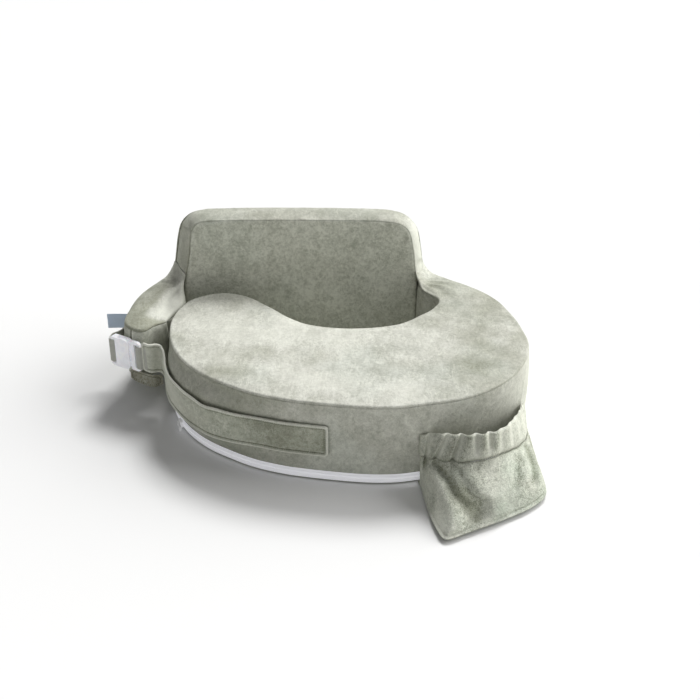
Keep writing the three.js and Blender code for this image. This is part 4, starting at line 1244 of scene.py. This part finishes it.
# Painted light and shade: the belt darker toward its front end, paler toward the buckle.
nap_and_painted_light = (-0.42 + 1.05 * ramp(belt.S, 60, 230)
       + 0.25 * noise(stack3(belt.S, belt.W, 0.0), (40, 18, 20), 165))
mark(belt.obj, "nap_and_painted_light", around(nap_and_painted_light, nap_and_painted_light))
done(belt.obj, "pillow", "plush", "belt_strap")
for name, across in (("belt_stitching_lower", -BELT_STITCH), ("belt_stitching_upper", BELT_STITCH)):
    done(stitches(name, *long_row(belt, across, 5.0, BELT.length), THREAD), "pillow", "plush")
for name, s in (("belt_box_stitch_end", 4.7), ("belt_box_stitch_inner", 27.0),
                ("belt_sleeve_end_stitch", BELT.length - 4.7)):
    done(stitches(name, *cross_row(belt, s, BELT_STITCH), THREAD), "pillow", "plush")

tail = sleeve("belt_tail_flap", TAIL, 9.6, 60, PLUSH_TAIL_SHADED, puff=0.9, rim=0.8, corner=9.0,
              band=3.4, seed=170, rise=tail_rise)
done(tail.obj, "pillow", "plush", "belt_tail")
done(stitches("belt_tail_stitching", *long_row(tail, -6.2, 3.0, TAIL.length), THREAD),
     "pillow", "plush")

# ------------------------------------------------------------------ buckle
BUCKLE = np.array([-333.7, 62.2, 85.0])
buckle_axis = unit(np.array([0.864, -0.503, 0.0]))
buckle_out = np.cross(buckle_axis, UP)


def loop_path(before, bar, side, lead_in, lead_out, count):
    """Strap path round a bar: in along the outer side, round it, out along the inner side.
    Points are (along, outward) from the buckle's centre, after the layout points before."""
    turn = [(bar + side * 4.9 * math.cos(math.radians(a)), 4.9 * math.sin(math.radians(a)))
            for a in np.linspace(90, 270, 17)]
    local = (lead_in + [(bar + side * 3.4, 4.55)] + turn
             + [(bar + side * 3.4, -4.55)] + lead_out)
    points = [BUCKLE + buckle_axis * a + buckle_out * b for a, b in local]
    return Curve(before + points, 12).sample(count)


for node, name, bevel, body in (
        ("buckle_male", "buckle_male_frame", 0.9, "pillow"),
        ("buckle_female", "buckle_female_housing", 0.8, "buckle_female"),
        ("buckle_prong_upper", "buckle_prong_upper_arm", 0.6, "prong_upper"),
        ("buckle_prong_lower", "buckle_prong_lower_arm", 0.6, "prong_lower")):
    moulded(node, name, ACETAL, bevel, body, "buckle_plastic", angle=24)

path = loop_path([], 16.25, 1, [(31, 0.5), (26, 0.8), (22.5, 2.2)],
                 [(22.5, -2.2), (26, -0.8), (31, -0.5)], 90)
done(webbing("belt_webbing", path), "pillow", "webbing", "belt_webbing_loop")

# The arm's strap leaves the arm at these (x, y) and runs to the buckle.
ARM_STRAP = [(-349.2, 139.0), (-350.0, 130.0), (-350.9, 121.0),
             (-354.0, 110.0), (-359.5, 101.5), (-366.0, 95.5)]
path = loop_path([(x, y, 85.0) for x, y in ARM_STRAP], -33.75, -1,
                 [(-40.9, -0.6), (-38.4, 3.6)], [(-38.6, -3.6), (-41.0, -2.6)], 150)
done(webbing("arm_webbing", path),
     ("wrap_arm", "buckle_female", part_point(-350.5, 130, 85), part_point(-365, 98, 85)),
     "webbing", "arm_webbing_tab", "arm_webbing_loop")


# ------------------------------------------------------------------ side label
def side_label():
    """Flat tag standing out of the arm's left side, with a rounded free edge."""
    turn = np.linspace(0.2, 1, 5) * np.pi / 2
    x = np.concatenate([np.linspace(-348.4, -382.6, 30), -382.6 - 1.4 * np.sin(turn)])
    half = np.concatenate([np.full(30, 0.55), 0.55 * np.cos(turn) + 0.02])[:, None]
    z = np.linspace(85.2, 109.8, 15)
    y = (148 + 1.1 * np.sin((x + 348) / -36 * np.pi * 0.9))[:, None]
    ripple = 0.25 * np.sin((z - 85) / 25 * np.pi)
    front, back = (stack3(x[:, None], y + side * half + ripple, z) for side in (-1, 1))
    rings = np.concatenate([front, back[:, ::-1]], 1)
    o = tube("side_label_tag", rings, LABEL)
    mark_weave(o, rings[..., 0], rings[..., 2])
    done(o, "label", "label", "label_tag")


side_label()

# ------------------------------------------------------------------ pocket
# Lines from the pocket's left end round to its right end: hem top and hem seam (x, y, z),
# foot on the floor and the ring behind it (x, y).
HEM = Curve([
    (95, -156, 80), (101, -158.5, 81), (112, -162, 85), (133, -173, 92), (163, -186, 99),
    (192, -183, 101), (211, -166, 98), (227, -134, 90), (243, -92, 79), (254, -50, 65)])
HEM_SEAM = Curve([
    (95.5, -160, 50), (103, -171, 54), (113, -184, 60), (132, -196, 65), (157, -205, 69),
    (185, -200, 70.5), (208, -183, 68), (231, -156, 60), (250, -115, 50), (257, -58, 38)])
FOOT = Curve([
    (97, -161), (101, -195), (108, -245), (114.5, -272), (119.5, -286), (124.5, -291),
    (131, -289.5), (144, -282.5), (160, -273.5), (200, -251), (243, -223), (268, -194),
    (271, -160), (265, -110), (259, -58)])
BEHIND = Curve([
    (94, -151.8), (101, -151), (107, -149.6), (114, -148), (122, -146), (138, -142),
    (154, -137), (176, -125.5), (200, -107.5), (220, -88), (236, -66), (249, -44)])
# Hem gathers: length share, depth, width, lean, share of depth kept at the seam.
GATHERS = (
    (0.058, 4.2, 0.013, 0.002, 1.0), (0.145, 4.8, 0.014, 0.036, 1.0),
    (0.232, 5.6, 0.013, 0.022, 1.0), (0.330, 4.4, 0.015, -0.012, 0.15),
    (0.400, 4.2, 0.015, -0.016, 0.1), (0.48, 1.6, 0.020, -0.01, 0.4),
    (0.58, 1.6, 0.024, 0.008, 0.5), (0.69, 1.2, 0.026, 0.0, 0.7),
    (0.80, 1.5, 0.024, 0.008, 0.7), (0.93, 1.8, 0.018, 0.0, 1.0))
# Bag creases from (u0, t0) to (u1, t1), shares of length and of the way down:
# u0, t0, u1, t1, depth, left width, right width, lip.
CREASES = (
    (0.052, 0.0, 0.046, 0.36, 4.2, 0.012, 0.014, 0.25),
    (0.60, 0.05, 0.56, 0.52, 2.4, 0.045, 0.026, 0.45),
    (0.72, 0.0, 0.66, 0.60, 3.6, 0.040, 0.024, 0.45),
    (0.86, 0.05, 0.80, 0.55, 3.0, 0.040, 0.022, 0.45),
    (0.150, 0.55, 0.175, 0.88, 1.8, 0.030, 0.020, 0.45))
COLUMNS = 330
share = np.linspace(0.004, 0.996, COLUMNS)
hem_line, seam_line, ring_line, foot_line = (
    c.at(share) for c in (HEM, HEM_SEAM, BEHIND, FOOT))
foot_line[:, 2] = FOOT_Z


def inward(p, target):
    d = unit((target - p)[..., :2])
    return stack3(d[..., 0], d[..., 1], 0.0)


hem_in = inward((hem_line + seam_line) / 2, ring_line)


def gathers(u, q):
    """How far the hem is drawn in at length share u and height share q of the casing."""
    out = 0.0
    for place, depth, width, lean, low in GATHERS:
        x = u - place - lean * (q - 0.5)
        k = depth * (low + (1 - low) * ramp(q, 0.15, 0.45)) * (1.0 - 0.3 * q * q * low)
        out = out + k * (ridge(x, width) - 0.42 * ridge(x - 2.5 * width, 1.6 * width)
                         - 0.40 * ridge(x + 2.5 * width, 1.6 * width))
    return out


def hem_casing():
    """Up the outer face, over the top and down the inner face."""
    up, over = np.linspace(0.2, 1, 6) * np.pi / 2, np.linspace(0.2, 1, 5) * np.pi / 2
    q = np.concatenate([np.linspace(-0.02, 0.93, 16), 0.95 + 0.05 * np.sin(up),
                        0.95 + 0.05 * np.cos(over), np.linspace(0.9, 0.04, 12)])
    section = np.concatenate([2.2 * ridge(np.linspace(0, 0.93, 16), 0.09), 2.6 - 2.6 * np.cos(up),
                              2.6 + 2.6 * np.sin(over), np.full(12, 5.2)])
    height = np.clip(q, 0, 1)
    column = np.arange(len(q))
    H = seam_line[:, None, :] + (hem_line - seam_line)[:, None, :] * q[None, :, None]
    drawn = gathers(share[:, None], height)
    depth = section + drawn * np.where(column < 20, 1.0, 0.85)
    depth = depth - 1.1 * np.sin(np.pi * height) * np.where(column < 18, 1.0, -0.35)
    depth = depth + 0.3 * noise(H, 9, 181) + 0.16 * noise(H, 3.2, 182)
    P = H + hem_in[:, None, :] * depth[..., None]
    P[..., 2] += (0.6 * noise(H, (22, 22, 60), 183) - 0.12 * drawn) * height
    o = shell("pocket_hem", P, PLUSH_POCKET, 1.2,
              outward=-hem_in[COLUMNS // 2], at=(COLUMNS // 2, 6))
    # Painted light: the hem paler overall, lighter or darker with its gathers.
    mark(o, "nap_and_painted_light", 0.60 + np.clip(0.30 * drawn, -1.0, 0.3))
    done(o, "pillow", "plush", "pocket_hem_casing")


def elastic():
    """Band inside the casing, drawn in with it."""
    inner = slice(6, -6)
    u = share[inner, None]
    q = np.linspace(0.12, 0.86, 12)
    E = seam_line[inner, None, :] + (hem_line - seam_line)[inner, None, :] * q[None, :, None]
    depth = 2.3 + gathers(u, q) * 0.92 + 0.12 * np.sin(u * 900)
    E = E + hem_in[inner, None, :] * depth[..., None]
    o = shell("pocket_elastic_band", E, ELASTIC, 0.9,
              outward=-hem_in[COLUMNS // 2], at=(COLUMNS // 2, 6))
    mark_weave(o, u * 255, q * 32)
    done(o, "pillow", "elastic", "pocket_elastic")


def bag():
    """From the hem seam to the foot; returns the finished foot line."""
    t = np.linspace(0, 1, 96)
    U, T = np.meshgrid(share, t, indexing="ij")
    X = seam_line[:, None, :] + (foot_line - seam_line)[:, None, :] * t[None, :, None]
    X[..., 2] -= 0.6 * (1 - T)
    into = inward(X, ring_line[:, None, :])
    out = 7.0 * np.minimum(1, 5 * U * (1 - U)) * np.sin(np.pi * T) * 0.9
    # Pleats released by the gathers, dying out downwards.
    out = out - gathers(U, 0) * np.exp(-T / 0.16) * 0.9
    # Two long valleys that slant down to the right.
    valley_a = np.interp(T, [0, 0.15, 0.35, 0.6, 0.78, 0.92],
                         [0.088, 0.150, 0.235, 0.335, 0.378, 0.392])
    valley_b = np.interp(T, [0, 0.2, 0.4, 0.55, 0.9], [0.225, 0.285, 0.345, 0.405, 0.425])
    xa, xb = U - valley_a, U - valley_b
    where_a = ramp(T, -0.02, 0.24) * fade(T, 0.95, 0.14)
    where_b = ramp(T, -0.02, 0.14) * fade(T, 0.90, 0.25)
    out = out + where_a * (3.4 * ridge(xb - 0.055, 0.045) + 3.2 * ridge(xa + 0.068, 0.046)
                           - 12.5 * uneven_ridge(xa, 0.030, 0.050))
    out = out - 5.5 * where_b * uneven_ridge(xb, 0.034, 0.024)
    # Painted shade: the strip between the two valleys, valley A and each crease darkened in colour.
    between = (ramp(U, valley_a - 0.006, 0.022) * fade(U, valley_b + 0.012, 0.022)
               * ramp(T, 0.16, 0.22) * fade(T, 0.95, 0.08))
    painted_shades = [(0.26 + 0.36 * T) * between,
              (0.22 + 0.34 * T) * where_a * ridge(xa - 0.008, 0.022)]
    for u0, t0, u1, t1, depth, left, right, lip in CREASES:
        x = U - (u0 + (u1 - u0) * np.clip((T - t0) / (t1 - t0), 0, 1))
        fold = (lip * ridge(x - 2.1 * right, 1.3 * right) + 0.30 * ridge(x + 2.2 * left, 1.4 * left)
                - uneven_ridge(x, left, right))
        out = out + depth * fold * ramp(T, t0 - 0.02, 0.10) * fade(T, t1 + 0.14, 0.14)
        painted_shades.append(min(1.0, depth / 9) * ridge(x - 0.35 * right, 0.95 * right)
                      * ramp(T, t0, 0.08) * fade(T, t1 + 0.07, 0.14))
    soft = smooth(T / 0.15) * fade(T, 1, 0.1)
    out = out + (1.2 * fbm(X, 46, 191, 2) + 0.35 * noise(X, 13, 192)) * soft
    out = out + 0.28 * noise(X, 3.4, 193) + 0.18 * noise(X, 2.0, 194)
    # Rolled foot seam: a dent above it and a bead at it.
    foot = (1 - T) * np.linalg.norm(foot_line - seam_line, axis=1)[:, None]
    out = out - 1.6 * ridge(foot - 6.5, 2.2) + 1.0 * ridge(foot - 2.6, 2.2) - rolled(foot, 2.2)
    out = out * smooth(U / 0.03) * fade(U, 1, 0.03) - rolled(T * 60, 1.4)
    P = X - into * out[..., None]
    P[..., 2] = np.maximum(P[..., 2], 0.8)
    P[..., 2] += ramp(T, 0.75, 0.25) * (1.6 + 1.4 * line_noise(U * 430, 60, 195))
    o = shell("pocket_bag", P, PLUSH_POCKET, 1.5, outward=-into[COLUMNS // 2, 48])
    cool = 0.7 * ramp(U, 0.44, 0.05) * fade(U, 0.80, 0.10)
    mark(o, "cool", cool * (0.6 + 0.5 * noise(X, 24, 196)))
    # Painted light left of valley A and in the middle, painted shade in the folds, with some
    # brushed nap.
    painted_light_areas = (0.70 * fade(U, valley_a - 0.03, 0.05) * ramp(T, 0.15, 0.25)
            + 0.35 * ramp(U, 0.36, 0.06) * fade(U, 0.62, 0.10))
    mark(o, "nap_and_painted_light", painted_light_areas - 1.7 * np.max(np.stack(painted_shades), 0) + 0.25 * fbm(X, 26, 197, 2))
    done(o, "pillow", "plush", "pocket_panel")
    return P[:, -1]


def pocket_base(edge_line):
    k = np.concatenate([[0, 0.004, 0.012, 0.03], np.linspace(0.06, 1, 26)])
    into = inward(edge_line, ring_line)
    back = ring_line.copy()
    back[:, 2] = 1.2
    edge = edge_line + into * 0.9
    B = edge[:, None, :] + (back - into * 1.4 - edge)[:, None, :] * k[None, :, None]
    B[..., 2] = (0.5 + (edge_line[:, 2][:, None] - 0.6) * np.exp(-k * 34)
                 + 0.5 * (0.5 + 0.5 * fbm(B, 30, 201, 2)) * smooth(k / 0.1))
    done(shell("pocket_bottom", B, PLUSH_POCKET, 1.2, outward=DOWN), "pillow", "plush")


hem_casing()
elastic()
pocket_base(bag())
row = seam_line + hem_in * (gathers(share, 0) * 0.9 + 0.35 - 0.5)[:, None]
row[:, 2] += 1.4
HEM_THREAD = thread("hem_thread", srgb(120, 122, 106))
done(stitches("pocket_hem_stitching", row[3:-3], -hem_in[3:-3], HEM_THREAD, pitch=3.2, r=0.42),
     "pillow", "plush")


# ------------------------------------------------------------------ floor, light, camera
def aim(o, direction):
    o.rotation_mode = "QUATERNION"
    o.rotation_quaternion = direction.to_track_quat("-Z", "Y")


floor_mesh = bpy.data.meshes.new("floor")
floor_mesh.from_pydata([(-6, -6, 0), (6, -6, 0), (6, 6, 0), (-6, 6, 0)], [], [(0, 1, 2, 3)])
floor = add_object("floor", floor_mesh)
floor_mat = bpy.data.materials.new("pale_floor")
floor_mat.use_nodes = True
floor_inputs = floor_mat.node_tree.nodes["Principled BSDF"].inputs
floor_inputs["Base Color"].default_value = (0.86, 0.86, 0.86, 1)
floor_inputs["Roughness"].default_value = 0.9
floor_mesh.materials.append(floor_mat)

world = bpy.data.worlds.new("studio")
bpy.context.scene.world = world
world.use_nodes = True
background = world.node_tree.nodes["Background"].inputs
background["Color"].default_value = (1, 1, 1, 1)
background["Strength"].default_value = 0.158

# Suns: name, energy, angular size in degrees, direction toward the sun, colour.
SUNS = (
    ("key_right", 2.8, 62, (0.85, 0.27, 0.46), (1.0, 0.995, 0.985)),
    ("key_back", 2.3, 20, (0.22, 0.61, 0.76), (1.0, 1.0, 0.995)),
    ("front_fill", 0.44, 90, (0.05, -0.95, 0.29), (1.0, 1.0, 1.0)))
for name, energy, size, toward, color in SUNS:
    sun = bpy.data.lights.new(name, "SUN")
    sun.energy = energy
    sun.angle = math.radians(size)
    sun.color = color
    aim(add_object(name, sun), -Vector(toward))

lens = bpy.data.cameras.new("camera")
lens.sensor_width = 36.0
lens.lens = 61.49
camera = add_object("camera", lens)
camera.location = part_point(0, -1531, 975)
aim(camera, Vector(part_point(0, 0, TOP)) - camera.location)
bpy.context.scene.camera = camera
bpy.context.scene.view_settings.view_transform = "Standard"
